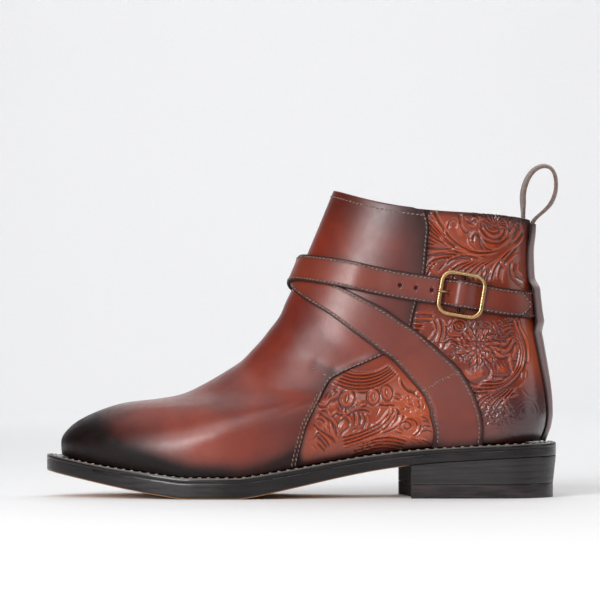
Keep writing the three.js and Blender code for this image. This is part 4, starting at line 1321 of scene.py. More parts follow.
    def collar_scrolls(self) -> None:
        """The hooked scroll, the open flower by the collar, and the loops beside the backstay."""
        self.lines(GROOVE, arc(189, 43, 5.5, 3, 120, 330, 20))
        self.lines(GROOVE, rays(198, 25, 3, 12, 190, 350, 9, 0.9, 15))
        self.lines(RIDGE, rays(198, 25, 3, 13, 198, 358, 9, 0.9, 15))
        self.dots(182, 206, 14, 28, 40)
        self.lines(GROOVE, arc(155, 24, 5.5, 7, 150, 420, 10, wide_end=2))
        self.lines(RIDGE, arc(155, 24, 3.2, 4.4, 150, 400))
        self.lines(GROOVE, arc(186, 72, 2.6, 4.6))
        self.ridges("""
            172 40 172.5 35 177 31 182 34 185 41 191 47 200 47.5; 180 29 186 37 195 40.5 205 38.5 210 31 209
            22 203 15; 149 21 146 29 149 38 157 44; 178 70 184 64 187 71 183 79""")
        self.draw(GROOVE, """
            175 42 175 37 178 34.5 181 38 182 44 186 49.5; 186 37 192 41 199 41 205 37; 182 27 188 34.5 196
            38 204 35.5 208 28 206 20; 186 26 192 31 199 32.4 203 27; 160 14 162 26 167 32 172 30; 167 20
            172 22.5 176 20 180 24; 172 14 178 15 184 13; 214 48.5 204.5 58 197.5 68 193.5 80; 220 46 210.5
            57 203.5 67 200.5 78; 190 66 191 73 188 80; 214 61 212.5 70 216 79 226 86; 218 62 217 70 220 76
            228 80; 223 22 218.5 31 211.5 39; 227.5 29 221.5 38 213.5 44.5""")
        self.draw(RIDGE, """
            169 38 170 44 176 49; 184 27 190 33 197 35.5 203 33 206 27; 188 27 194 31 200 29; 163 14 164.5
            25 169 29; 166 17 172 20 176 17 180 21; 170 24 176 25 180 20 186 17; 212 48 202 58 195 68 191
            80; 218 44 208 56 201 66 198 78; 221 52 212 60 206 70 204 82; 216 61 214.5 70 218 78 228 83.5;
            222 62 221 69 226 74; 220 20 216 28 210 36; 226 24 221 34 213 42; 228 33 222 42 214 47""")
        self.draw(PILLOW, "184 40 188 44 196 44; 190 35 196 38; 160 24 162 34")

    def fillings(self) -> None:
        """Small leaves and stippling that fill the ground between the main forms."""
        # across, down, size, direction in degrees
        leaves = """
            133 20 6 200; 176 13 6 20; 214 20 6 120; 205 62 7 60; 216 73 6 240; 160 72 6 150; 136 130 5 250;
            150 158 6 30; 208 128 6 330; 196 128 5 250; 225 175 6 100; 216 196 7 160; 188 203 6 20;
            64 204 6 340; 98 196 7 20; 110 206 6 200; 28 229 6 70; 56 231 6 150; 100 231 6 20;
            122 206 5 90; 220 146 5 270"""
        # left, right, top, bottom, how many dots
        boxes = """
            186 214 204 226 64; 176 204 186 200 30; 104 122 190 212 36; 210 224 14 30 26; 150 168 66 78 26;
            38 60 206 214 22; 152 172 148 160 30; 196 216 118 136 34"""
        for leaf in leaves.split(";"):
            self.leaf(*map(float, leaf.split()))
        for box in boxes.split(";"):
            self.dots(*map(int, box.split()))

    def leaf(self, x: float, y: float, size: float, turn: float) -> None:
        """A small veined leaf that curls to one side.

        Args:
            x: its middle, across.
            y: its middle, down.
            size: how large it is.
            turn: its direction, in degrees.
        """
        way = np.linspace(0, 1, 12)
        c, s = np.cos(np.radians(turn)), np.sin(np.radians(turn))
        for tool, wide in ((GROOVE, 0.36), (GROOVE, -0.3), (RIDGE, 0.15), (RIDGE, -0.12), (HAIR, 0.0)):
            a = size * 1.5 * (way - 0.5)
            b = size * (wide * np.sin(np.pi * way) ** 0.8 + 0.35 * (way - 0.5) ** 2)
            self.lines(tool, np.stack([x + a * c - b * s, y + a * s + b * c], axis=1))

    def heel_swirls(self) -> None:
        """Faint swirls over the heel counter."""
        faint = Tool(1.0, -0.16)
        self.lines(faint, arc(228, 212, 5, 4.5), arc(228, 212, 9, 8, 120, 420))
        self.lines(faint, arc(228, 212, 13.5, 12, 150, 400), arc(198, 232, 5, 4, 180, 420))
        self.draw(faint, """
            212 226 222 230 236 229; 206 218 211 226 219 235; 225 190 232 196 240 196; 190 222 198 226 206
            236; 214 194 222 200 234 201""")

    def carve(self) -> Array:
        """The height of the relief on a fine grid.

        Each stroke is a bell across its line, tapered at its ends. Ridges keep the highest value where they
        cross, cuts the deepest, pillows the highest of their own, and the three are added.

        Returns:
            Heights in millimetres, row by row of the chart's cells.
        """
        across, down = (int(side / self.cell) for side in self.size)
        high, low, soft = (np.zeros(across * down) for _ in range(3))
        for tool in {tool for tool, _ in self.strokes}:
            spots, sizes = [], []
            for used, line in self.strokes:
                if used is not tool:
                    continue
                length = np.concatenate([[0], np.cumsum(np.linalg.norm(np.diff(line, axis=0), axis=1))])
                even = np.linspace(0, length[-1], max(int(length[-1] / self.spacing), 2))
                at = np.arange(len(line))
                index = np.interp(even, length, at)
                spots.append(np.stack([np.interp(index, at, line[:, k]) for k in (0, 1)], axis=1))
                closed = np.linalg.norm(line[0] - line[-1]) < 1
                end = np.minimum(even, length[-1] - even)
                sizes.append(np.ones(len(even)) if closed else blend(0.35, 1, ease(end, 0, self.taper)))
            spot, size = np.concatenate(spots) / self.cell, np.concatenate(sizes)
            reach = int(np.ceil(2.1 * tool.width / self.cell))
            offsets = np.stack(np.meshgrid(*[np.arange(-reach, reach + 1)] * 2), axis=-1).reshape(-1, 2)
            cells = np.round(spot).astype(int)[:, None] + offsets
            distance = np.linalg.norm(cells - spot[:, None], axis=-1) * self.cell
            value = tool.height * size[:, None] * bell(distance, tool.width)
            cells = np.clip(cells, 0, [across - 1, down - 1])
            index = (cells[..., 1] * across + cells[..., 0]).reshape(-1)
            if tool is PILLOW:
                np.maximum.at(soft, index, value.reshape(-1))
            elif tool.height > 0:
                np.maximum.at(high, index, value.reshape(-1))
            else:
                np.minimum.at(low, index, value.reshape(-1))
        field = (high + low + soft).reshape(down, across)
        for axis in (0, 1):
            field = (np.roll(field, 1, axis) + 2 * field + np.roll(field, -1, axis)) / 4
        return field

    def height(self, point: Array) -> Array:
        """The relief's height at points of the boot, read off the chart between its cells.

        Args:
            point: points of the quarters.

        Returns:
            The heights, in millimetres.
        """
        x = (point[..., 0] - self.origin[0]) / self.step / self.cell
        y = (self.origin[1] - point[..., 2]) / self.step / self.cell
        rows, columns = self.field.shape
        x, y = np.clip(x, 0, columns - 1.001), np.clip(y, 0, rows - 1.001)
        i, j = y.astype(int), x.astype(int)
        u, v = x - j, y - i
        top = blend(self.field[i, j], self.field[i, j + 1], u)
        return blend(top, blend(self.field[i + 1, j], self.field[i + 1, j + 1], u), v)


# The upper


class QuarterPart(Enum):
    """The parts of a quarter: before and behind the strap that comes down to the welt."""

    FRONT = "front"
    BACK = "back"


@dataclass
class Upper:
    """The vamp with its front panel, the two quarters under it, and the lining.

    Each is a closed skin: its outer face runs up from the feather line, over the rim and down the inner face.
    """

    last: Last
    tooling: Tooling
    strap_leg: tuple
    front_top: float = 9.3
    lap: float = 1.0
    leather: float = 1.25
    lining: float = 0.75
    seam: float = 0.06
    tuck: float = 4.0
    panel_columns: int = 300
    panel_rows: int = 210
    inner_rows: int = 22
    foot_turn_in: float = 0.5
    flap_lift: float = 1.25
    flap_at: float = 32
    hollow: tuple = ((8.5, 79), (17, 75.3))
    hollow_depth: float = 0.6
    tack: tuple = ((6.5, 76.6), (16, 71.2))
    collar_row: float = 3
    # start, foot, lean, width, reach, height: where the leather has creased in wear, across the ankle
    folds: tuple = (
        (-6, 92, -0.5, 5, 22, 0.5), (2, 104, -0.3, 5, 20, -0.45), (-2, 116, -0.1, 6, 20, 0.4),
        (-30, 74, -0.75, 7, 24, -0.4), (20, 90, -0.55, 5, 18, -0.35),
    )

    def _levels(self, count: int, turn: float) -> Array:
        """Levels evenly spaced up the face at a turn."""
        fine = np.linspace(0, self.last.collar, 1200)
        return np.interp(resampled(self.last.face(fine, turn), count), np.arange(len(fine)), fine)

    def _skin(self, levels: Array, turns: Array, top: Array, under: Array, marks: dict[str, Array]) -> Patch:
        """A closed skin between two heights over the face.

        Up each column go the outer face at height top, a half round over the rim, and the inner face at
        height under. Below the feather line the outer face turns in.

        Args:
            levels: the rows' levels.
            turns: rows by columns, the turns around the last.
            top: rows by columns, heights of the outer face.
            under: rows by columns, heights of the inner face.
            marks: values on the same grid.

        Returns:
            The skin, facing out.
        """
        last = self.last
        outer = last.over(levels[:, None], turns, top)
        foot = last.over(0.0, turns[0], top[0] - self.foot_turn_in) - np.array([0, 0, 0.4])
        swing = np.linspace(0, np.pi, 9)[1:-1, None]
        middle, half = (top[-1] + under[-1]) / 2, (top[-1] - under[-1]) / 2
        rim = last.over(float(levels[-1]), turns[-1], middle + half * np.cos(swing))
        rim[..., 2] += half * np.sin(swing)
        picked = np.linspace(len(levels) - 1, 0, self.inner_rows).astype(int)
        inner = last.over(levels[picked, None], turns[picked], under[picked])
        order = np.concatenate([[0], np.arange(len(levels)), [len(levels) - 1] * len(swing), picked])
        spread = {name: np.broadcast_to(value, turns.shape)[order] for name, value in marks.items()}
        points = np.concatenate([foot[None], outer, rim, inner])
        patch = grid(points.transpose(1, 0, 2), wrap_columns=True,
                     marks={name: value.T for name, value in spread.items()})
        ladder = self._ladder(len(levels), len(swing), picked)
        last_column = (turns.shape[1] - 1) * len(points)
        patch.others += [face[::-1] for face in ladder]
        patch.others += [[number + last_column for number in face] for face in ladder]
        return turned_out(patch)

    @staticmethod
    def _ladder(rows: int, round_rows: int, picked: Array) -> list[list[int]]:
        """Faces that close a skin's side, from each pair of inner rows to the outer rows across from it.

        Args:
            rows: how many rows the outer face has.
            round_rows: how many go over the rim.
            picked: the outer rows that the inner face repeats, from the top down.

        Returns:
            The faces, as places in the side's column of points.
        """
        first_inner = rows + round_rows + 1
        rungs = [
            [*range(int(low) + 1, int(high) + 2), first_inner + k, first_inner + k + 1]
            for k, (high, low) in enumerate(zip(picked[:-1], picked[1:]))
        ]
        rim = [*range(rows, first_inner + 1)]
        foot = [0, 1, first_inner + len(picked) - 1]
        return [*rungs, rim, foot]

    def panel_skin(self) -> Patch:
        """The vamp and front panel, from one cut edge over the ridge to the other.

        Returns:
            The skin.
        """
        last = self.last
        levels = self._levels(self.panel_rows, np.pi * 0.62)
        edge = last.panel_turn(levels)[:, None]
        near = np.array([0, 0, 0.12, 0.35, 0.7, 1.2])
        length = last.ring_length(levels)[:, None]
        pull = near / (length / 2 * np.maximum(np.sin(edge), 0.2))
        drop = np.array([1.0, 0.5, 0.2, 0.05, 0, 0]) * self.lap
        inside = np.linspace(0, 1, self.panel_columns)
        start, end = edge + pull[:, -1:], 2 * np.pi - edge - pull[:, -1:]
        turns = np.concatenate([
            edge + pull[:, :-1], start + (end - start) * inside, (2 * np.pi - edge - pull[:, :-1])[:, ::-1],
        ], axis=1)
        drops = np.concatenate([drop[:-1], np.zeros(self.panel_columns), drop[:-1][::-1]])
        from_edge = self.from_panel_edge(levels[:, None], turns)
        lift = self.lift(levels[:, None], turns)
        top = -drops + lift
        under = lift - self.lap - self.leather * ease(from_edge, self.tuck, self.tuck + 4)
        return self._skin(levels, turns, top, under, self.panel_marks(levels[:, None], turns))

    def lift(self, level: Array, around: Array) -> Array:
        """How high the vamp's free flap stands off, less the hollow in front of its end.

        The flap rises as a bell along its edge and falls off into the vamp. The hollow and the creases are
        bells round lines.

        Args:
            level: where on the last.
            around: where around it.

        Returns:
            The height.
        """
        point = self.last.face(level, around)
        x, z = point[..., 0], point[..., 2]
        flap = self.flap_lift * bell(x - self.flap_at, 11) * bell(self.from_panel_edge(level, around), 8)
        flap = flap * (1 - ease(z, 90, 96))
        folds = 0.0
        for start, foot, lean, width, reach, height in self.folds:
            off = (z - foot) * np.cos(lean) - (x - start) * np.sin(lean)
            folds = folds + height * bell(off, width) * bell(x - start, reach)
        return flap - self.hollow_depth * bell(self.from_hollow(x, z), 4.5) + folds

    def from_hollow(self, x: Array, z: Array) -> Array:
        """Distance of a point, as seen from the side, from the line of the hollow before the flap.

        Args:
            x: x on the face.
            z: z on the face.

        Returns:
            The distance, in millimetres.
        """
        (x0, z0), (x1, z1) = self.hollow
        wide, tall = x1 - x0, z1 - z0
        share = np.clip(((x - x0) * wide + (z - z0) * tall) / (wide**2 + tall**2), 0, 1)
        return np.hypot(x - blend(x0, x1, share), z - blend(z0, z1, share))

    def rows(self) -> list[tuple[Array, Array]]:
        """The lines that are sewn on the panel, each with the way out of the leather along it.

        Returns:
            Each row's points and directions.
        """
        last, rows = self.last, []
        for low, high, insets in ((0.3, 6.35, (1.3, 3.3)), (6.2, 12.9, (1.5,))):
            level = np.linspace(low, high, 900)
            edge = last.panel_turn(level)
            for inset in insets:
                turn = edge + inset / (last.ring_length(level) / 2 * np.sin(edge))
                rows += [(level, turn), (level, 2 * np.pi - turn)]
        edge = float(last.panel_turn(12.88)) + 0.05
        turn = np.linspace(edge, 2 * np.pi - edge, 900)
        drop = self.collar_row / np.linalg.norm(last.slopes(0 * turn + last.collar - 0.1, turn)[1], axis=1)
        rows.append((last.collar - drop, turn))
        return [(last.over(*row, self.lift(*row)), last.slopes(*row)[2]) for row in rows]

    def bartack(self) -> tuple[Array, Array]:
        """The short row that holds the flap's end, found on the face by where it shows from the side.

        Returns:
            The row's points, and the way out of the leather along it.
        """
        start, end = (np.array(place) for place in self.tack)
        want = blend(start, end, np.linspace(0, 1, 40)[:, None])
        level, turn = np.full(40, 6.0), np.full(40, 1.75)
        for _ in range(12):
            around, up, _out = self.last.slopes(level, turn)
            off = want - self.last.face(level, turn)[:, (0, 2)]
            whole = around[:, 0] * up[:, 2] - around[:, 2] * up[:, 0]
            turn = turn + (off[:, 0] * up[:, 2] - off[:, 1] * up[:, 0]) / whole
            level = level + (around[:, 0] * off[:, 1] - around[:, 2] * off[:, 0]) / whole
        return self.last.over(level, turn, self.lift(level, turn)), self.last.slopes(level, turn)[2]

    def from_panel_edge(self, level: Array, around: Array) -> Array:
        """Length along a ring from the panel's edge, more than 0 on the panel."""
        share = (1 - np.cos(around)) / 2
        return (share - self.last.panel_edge(level)) * self.last.ring_length(level)

    def panel_marks(self, level: Array, around: Array) -> dict[str, Array]:
        """Burnishing at the toe, the edges and the rim; at the feather line burnishing and painted shade;
        painted shade in the hollow.

        Args:
            level: where on the last.
            around: where around it.

        Returns:
            The marks.
        """
        point = self.last.face(level, around)
        level = np.broadcast_to(level, around.shape)
        x, z = point[..., 0], point[..., 2]
        above = z - self.last.feather(x - self.last.x_shift)
        toe = 1 - ease(x + 0.8 * z, -118, -12)
        cut = self.from_panel_edge(level, around)
        # at the feather line the darkening is partly burnishing and partly painted shade of the crease over
        # the welt
        burnish = 0.9 * bell(above, 10) + 1.3 * toe**1.6 + 0.45 * bell(cut, 13) + 0.15 * bell(cut, 3)
        burnish = burnish + 0.3 * ease(level, 11.9, 13) + 0.15 * ease(level, 9.5, 12)
        # the bell round the hollow is painted shade in the dent before the flap's end
        burnish = np.minimum(burnish, 0.82 + ease(-x, 40, 80)) + 0.4 * bell(self.from_hollow(x, z), 3.6)
        warm = 0.12 * bell(x + 60, 26) * bell(above - 16, 12) + 0.3 * bell(x - 8, 22) * bell(z - 165, 24)
        return {"burnish": np.clip(burnish, 0, 1), "warm": warm, "edge": 1 - ease(cut, 0.1, 0.6)}

    def quarter_skin(self, side: int, part: QuarterPart, rows: int, columns: int) -> Patch:
        """Part of a quarter. Its two parts meet under the strap that comes down to the welt.

        Args:
            side: -1 for the outer side, 1 for the inner.
            part: which part.
            rows: how many rows go up it.
            columns: how many columns go along it.

        Returns:
            The skin.
        """
        last = self.last
        leg = np.array(self.strap_leg, float)[::-1]
        split = Curve(leg[:, 0], leg[:, 1] * np.pi, hold=True)
        front = part is QuarterPart.FRONT
        fine = np.linspace(0, self.front_top if front else last.collar, 1200)
        guide = np.where(fine < self.front_top, split(fine), np.pi * 0.35) if front else np.pi * 0.25
        levels = np.interp(resampled(last.face(fine, guide), rows), np.arange(len(fine)), fine)
        edge = last.panel_turn(levels)
        reach = edge + self.tuck / (last.ring_length(levels) / 2 * np.sin(edge))
        middle = np.minimum(split(levels), reach - 0.01)
        back_end = np.where(levels < self.front_top, middle, reach)
        start, end = (middle, reach) if front else (0 * reach, back_end)
        share = np.linspace(0, 1, 120)
        lines = last.face(levels[:, None], start[:, None] + (end - start)[:, None] * share)
        step = np.linalg.norm(np.diff(lines, axis=1), axis=-1)
        length = np.concatenate([np.zeros((len(levels), 1)), np.cumsum(step, axis=1)], axis=1)
        even = np.linspace(0, 1, columns)
        shares = np.stack([np.interp(even * run[-1], run, share) for run in length])
        turns = start[:, None] + (end - start)[:, None] * shares
        relief = self.tooling.height(last.face(levels[:, None], turns)) * ease(turns, 0.05, 0.2)
        if side > 0:
            turns = 2 * np.pi - turns
        marks = self.quarter_marks(levels[:, None], turns)
        marks["relief"] = relief
        top = -self.lap + relief
        return self._skin(levels, turns, top, 0 * top - self.lap - self.leather, marks)

    def quarter_marks(self, level: Array, around: Array) -> dict[str, Array]:
        """Burnishing and painted shade at the feather line, painted shade beside the panel's edge, a greyer
        tone over the counter, and the rubbed front.

        Args:
            level: where on the last.
            around: where around it.

        Returns:
            The marks.
        """
        point = self.last.face(level, around)
        x, z = point[..., 0], point[..., 2]
        above = z - self.last.feather(x - self.last.x_shift)
        beside = -self.from_panel_edge(level, np.where(around > np.pi, 2 * np.pi - around, around))
        # painted shade: at the feather line along with burnishing, and beside the panel's edge, under its
        # overlap
        burnish = 0.95 * bell(above, 6) + 0.6 * bell(beside, 2.5)
        burnish = burnish + 0.4 * ease(x, 128, 142) * ease(z, 120, 150) + 0.7 * ease(level, 12.8, 13)
        grey = ease(x, 92, 128) * (1 - ease(z, 50, 82)) + 0.3 * ease(x, 120, 140) * ease(z, 90, 160)
        warm = 0.75 * bell(x - 62, 24) * bell(z - 50, 22) + 0.7 * bell(x - 138, 9) * bell(z - 88, 26)
        return {"burnish": np.clip(burnish, 0, 1), "warm": warm * (1 - grey), "grey": 0.85 * grey}

    def lining_skin(self) -> Patch:
        """The lining, all the way round.

        Returns:
            The skin.
        """
        levels = np.linspace(0, self.last.collar, 60)
        turns = np.linspace(0, 2 * np.pi, 181)[:-1]
        depth = self.lap + self.leather + self.seam
        outer = self.last.over(levels[:, None], turns, -depth)
        swing = np.linspace(0, np.pi, 7)[1:-1, None]
        half = self.lining / 2
        rim = self.last.over(float(self.last.collar), turns, -depth - half + half * np.cos(swing))
        rim[..., 2] += half * np.sin(swing)
        inner = self.last.over(levels[::-1, None], turns, -depth - self.lining)
        points = np.concatenate([outer, rim, inner])
        patch = grid(points.transpose(1, 0, 2), wrap_rows=True, wrap_columns=True)
        return turned_out(patch)

    def build(self, calf: Material, tooled: Material, lining: Material,
              thread: Material) -> None:
        """Makes the upper's pieces.

        Args:
            calf: the vamp's and front panel's finish.
            tooled: the quarters' finish.
            lining: the lining's finish.
            thread: the stitches' finish.
        """
        sewn = joined([Thread().row(*row) for row in [*self.rows(), self.bartack()]])
        fit("panel_stitches", sewn, thread, Slot.CALF)
        fit("vamp_and_panel", self.panel_skin(), calf, Slot.CALF, "upper")
        grids = {
            ("outer", -1, QuarterPart.FRONT): (220, 300),
            ("outer", -1, QuarterPart.BACK): (360, 250),
            ("inner", 1, QuarterPart.FRONT): (150, 200),
            ("inner", 1, QuarterPart.BACK): (240, 180),
        }
        for (name, side, part), (rows, columns) in grids.items():
            skin = self.quarter_skin(side, part, rows, columns)
            fit(f"quarter_{name}_{part.value}", skin, tooled, Slot.CALF, "upper")
        fit("lining", self.lining_skin(), lining, Slot.LINING, "upper")


# Straps, backstay and loop


class Route:
    """A path over the upper, measured in millimetres from its start."""

    paces = 5

    def __init__(self, last: Last, knots: Array) -> None:
        """Lays the path.

        Args:
            last: what it lies on.
            knots: rows of level, around and width share.
        """
        self.last = last
        index = np.arange(len(knots))
        self.level, self.around, self.wide = (Curve(index, knots[:, k]) for k in range(3))
        self.marks = np.linspace(0, len(knots) - 1, 40 * (len(knots) - 1) + 1)
        points = last.face(self.level(self.marks), self.around(self.marks))
        steps = np.linalg.norm(np.diff(points, axis=0), axis=1)
        self.lengths = np.concatenate([[0], np.cumsum(steps)])
        self.total = float(self.lengths[-1])

    def knot(self, length: Array) -> Array:
        """Where a length lies, counted in knots."""
        return np.interp(length, self.lengths, self.marks)

    def length_to(self, turn: float) -> float:
        """The length at which the path has turned as far as asked.

        Args:
            turn: the turn, in radians.

        Returns:
            The length, in millimetres.
        """
        off = self.around(self.marks) - turn
        i = int(np.nonzero(off[1:] * off[:-1] <= 0)[0][0])
        return float(blend(self.lengths[i], self.lengths[i + 1], off[i] / (off[i] - off[i + 1])))

    def across(self, length: Array, offset: Array) -> tuple[Array, Array]:
        """The level and turn a step across the path from its middle.

        The step is taken in a few paces, each split between level and around by the face's own metric there,
        so that it keeps its true length.

        Args:
            length: how far along the path.
            offset: how far to its side.

        Returns:
            The level and the turn.
        """
        length, offset = np.broadcast_arrays(np.asarray(length, float), np.asarray(offset, float))
        t = self.knot(length)
        level, around = self.level(t), self.around(t)
        small = 0.002
        ahead = self.last.face(self.level(t + small), self.around(t + small))
        behind = self.last.face(self.level(t - small), self.around(t - small))
        along = ahead - behind
        for _ in range(self.paces):
            along_around, along_level, out = self.last.slopes(level, around)
            side = unit(np.cross(out, along)) * (offset / self.paces)[..., None]
            aa, al = (along_around**2).sum(-1), (along_around * along_level).sum(-1)
            ll = (along_level**2).sum(-1)
            sa, sl = (side * along_around).sum(-1), (side * along_level).sum(-1)
            whole = aa * ll - al * al
            level = np.clip(level + (sl * aa - sa * al) / whole, 0.12, self.last.collar)
            around = around + (sa * ll - sl * al) / whole
        return level, around


@dataclass
class Straps:
    """The two straps that cross over the instep, each from the welt, round the ankle to the buckle."""

    last: Last
    width: float = 16.5
    foot_width: float = 28.8
    thickness: float = 1.9
    rest: float = 0.45
    gap: float = 0.3
    drape_from: float = 9
    drape_to: float = 19
    lap: float = 1.0
    chape_thickness: float = 1.1
    chape_turn: float = 6.5
    crossing_reach: float = 46
    crossing_ramp: float = 20
    point: float = 9
    tip: float = 1.5
    hole: float = 2.2
    hole_pitch: float = 9.5
    holes: int = 3
    buckle_turn: float = 0.379
    tail_turn: float = 0.124
    buckle_length: float = 28
    buckle_wire: float = 2.5
    bar_wire: float = 2
    bar_stand: float = 4.5
    prong_hole: float = -7.6
    step: float = 1.4
    foot_reach: float = 26
    seam_at: tuple = (81.9, 69.9)
    # level, turn from the back (0) to the ridge (1), share of the widening
    low_leg: tuple = (
        (11.62, 1, 0), (11.44, 0.86, 0), (11.2, 0.746, 0.05), (10.92, 0.667, 0.2), (10.38, 0.59, 0.36),
        (9.64, 0.523, 0.48), (8.85, 0.458, 0.58), (7.17, 0.375, 0.8), (5.53, 0.332, 0.92), (3.86, 0.3, 1),
        (2, 0.286, 1), (0.35, 0.282, 1),
    )
    high_leg: tuple = (
        (11.62, 1, 0), (11.66, 0.88, 0), (11.63, 0.752, 0), (11.565, 0.66, 0), (11.44, 0.542, 0),
        (11.34, 0.4415, 0), (11.266, 0.378, 0), (11.174, 0.306, 0), (11.1, 0.252, 0), (11.05, 0.18, 0),
        (11.04, 0.1, 0), (11.06, 0, 0),
    )

    def __post_init__(self) -> None:
        """Lays both paths and finds their landmarks."""
        low, high = np.array(self.low_leg, float), np.array(self.high_leg, float)
        outer_low, outer_high, inner_low, inner_high = low.copy(), high.copy(), low.copy(), high.copy()
        outer_low[:, 1] *= np.pi
        outer_high[:, 1] *= np.pi
        inner_low[:, 1] = (2 - low[:, 1]) * np.pi
        inner_high[:, 1] = (2 - high[:, 1]) * np.pi
        beyond = high[:-1][::-1][:6].copy()
        beyond[:, 1] = (2 + beyond[:, 1]) * np.pi
        self.under = Route(self.last, np.concatenate([outer_low[::-1], inner_high[1:], beyond]))
        self.over = Route(self.last, np.concatenate([inner_low[::-1], outer_high[1:]]))
        self.under_bar = self.under.length_to((2 + self.buckle_turn) * np.pi)
        self.over_bar = self.over.length_to(self.buckle_turn * np.pi)
        self.over_tip = self.over.length_to(self.tail_turn * np.pi)
        self.ridge = self.over.length_to(np.pi)

    def drape(self, level: Array, around: Array) -> Array:
        """How high the leather under a strap lies: 0 on the panel, falling to the quarter beyond it."""
        share = (1 - np.cos(around)) / 2
        beyond = (self.last.panel_edge(level) - share) * self.last.ring_length(level)
        return -self.lap * ease(beyond, self.drape_from, self.drape_to)

    def lay(self, route: Route, length: Array, offset: Array, height: Array) -> Array:
        """A point over the leather: a length along the route, an offset across it and a height.

        Near the start the rows are turned until the first lies along the feather line.

        Args:
            route: the strap's path.
            length: how far along it.
            offset: how far to its side.
            height: how far over the leather.

        Returns:
            The point.
        """
        level, around = route.across(length, offset)
        foot = route.across(0.0, offset)[0] - 0.04
        level = level - foot * np.clip(1 - length / self.foot_reach, 0, 1)
        return self.last.over(level, around, self.drape(level, around) + height)

    def spread(self, route: Route, length: Array) -> Array:
        """The strap's width, which grows towards the welt."""
        return blend(self.width, self.foot_width, route.wide(route.knot(length)))

    def over_height(self, length: Array) -> Array:
        """The lower face of the over strap: over the crossing, over the buckle's bar and down to its end.

        Args:
            length: how far along the strap.

        Returns:
            Its height over the leather.
        """
        layer = self.thickness + self.rest + self.gap / 2
        over_turn = self.bar_stand + self.bar_wire / 2 + self.rest + self.chape_thickness + self.rest
        over_chape = 2 * self.rest + self.chape_thickness + self.gap / 2
        half = self.buckle_length / 2
        reach, ramp = self.crossing_reach, self.crossing_ramp
        crossing = layer * (1 - ease(np.abs(length - self.ridge), reach, reach + ramp))
        off = length - self.over_bar
        rise = ease(-np.abs(off), -(half - self.buckle_wire), -self.bar_wire / 2)
        hump = blend(np.where(off < 0, self.rest, over_chape), over_turn, rise)
        tail = (layer - over_chape + self.rest) * ease(off, half, 2 * self.buckle_length)
        return np.where(off < -half, self.rest + crossing, hump + tail)

    @staticmethod
    def section() -> tuple[Array, Array]:
        """A strap's section as shares across and shares up, with rounded edges and a creased line by each.

        Returns:
            The shares across, from -1 to 1, and up, from 0 at the lower face to 1 at the upper, as a loop.
        """
        top = np.array([0.985, 0.95, 0.9, 0.86, 0.83, 0.8, 0.77, 0.73, 0.66, 0.5, 0.35, 0.22, 0.13, 0.05])
        top = np.concatenate([top, -top[::-1]])
        crease = 1 - 0.1 * bell(np.abs(top) - 0.80, 0.035) - 0.12 * ease(np.abs(top), 0.88, 1)
        across = np.concatenate([[-0.9, 0, 0.9, 0.985, 1.0, 1.0], top, [-1.0, -1.0, -0.985]])
        up = np.concatenate([[0, 0, 0, 0.06, 0.3, 0.7], crease, [0.7, 0.3, 0.06]])
        return across, up

    def band(self, route: Route, lower: tuple[Array, Array], upper: tuple[Array, Array], width: Array,
             section: tuple[Array, Array] | None = None) -> tuple[Array, Array]:
        """A strap's points: its section carried along the route.

        Args:
            route: the path.
            lower: lengths and heights of the lower face, row by row.
            upper: lengths and heights of the upper face.
            width: the width, row by row.
            section: shares across and up.

        Returns:
            The points, rows by section points, and how near each is to an edge, from 0 to 1.
        """
        across, up = section or self.section()
        offset = width[:, None] / 2 * across
        low = self.lay(route, lower[0][:, None], offset, lower[1][:, None])
        high = self.lay(route, upper[0][:, None], offset, upper[1][:, None])
        return low + (high - low) * up[:, None], np.abs(across) + 0 * offset

    def edge_marks(self, near_edge: Array, width: Array, points: Array) -> dict[str, Array]:
        """Burnishing along both edges, and darkening down to the welt, partly burnishing and partly painted
        shade.

        Args:
            near_edge: how near each point is to an edge, from 0 to 1.
            width: the strap's width, row by row.
            points: its points.

        Returns:
            The marks.
        """
        inward = (1 - near_edge) * width[:, None] / 2
        above = points[..., 2] - self.last.feather(points[..., 0] - self.last.x_shift)
        # the bell over the welt is partly burnishing and partly painted shade of the crease at the strap's
        # foot
        burnish = 0.6 * bell(inward, 1.8) + 0.3 * bell(inward, 4.5) + 0.75 * bell(above, 5)
        edge = 1 - ease(inward, 0.1, 0.5)
        return {"burnish": np.clip(burnish, 0, 1), "warm": 0.2 * ease(above, 6, 20), "edge": edge}

    def under_skin(self) -> Patch:
        """The under strap, whose end turns round the buckle's bar and back over itself.

        Returns:
            The strap.
        """
        bar, route = self.under_bar, self.under
        skive = bar - 2 * self.buckle_length
        inside = self.bar_wire / 2 + self.rest
        outside = inside + self.chape_thickness
        flat = np.arange(0, bar, self.step)
        climb = ease(flat, bar - self.buckle_length / 2, bar)
        low_height = blend(self.rest, self.bar_stand - outside, climb)
        thin = ease(flat, skive, bar - self.buckle_length / 2)
        thick = blend(self.thickness, self.chape_thickness, thin)
        swing = np.linspace(-np.pi / 2, np.pi / 2, 15)
        back = np.linspace(bar, bar - self.chape_turn, 8)[1:]
        climbed = ease(back, bar - self.buckle_length / 2, bar)
        under = blend(self.rest, self.bar_stand - outside, climbed) + self.chape_thickness + self.rest
        back_height = blend(under, self.bar_stand + inside, ease(back, bar - self.chape_turn, bar))
        round_low = self.bar_stand + outside * np.sin(swing)
        lower = (
            np.concatenate([flat, bar + outside * np.cos(swing), back]),
            np.concatenate([low_height, round_low, back_height + self.chape_thickness]),
        )
        upper = (
            np.concatenate([flat, bar + inside * np.cos(swing), back]),
            np.concatenate([low_height + thick, self.bar_stand + inside * np.sin(swing), back_height]),
        )
        width = self.spread(route, np.minimum(lower[0], bar))
        points, near = self.band(route, lower, upper, width)
        return tube(points, self.edge_marks(near, width, points))

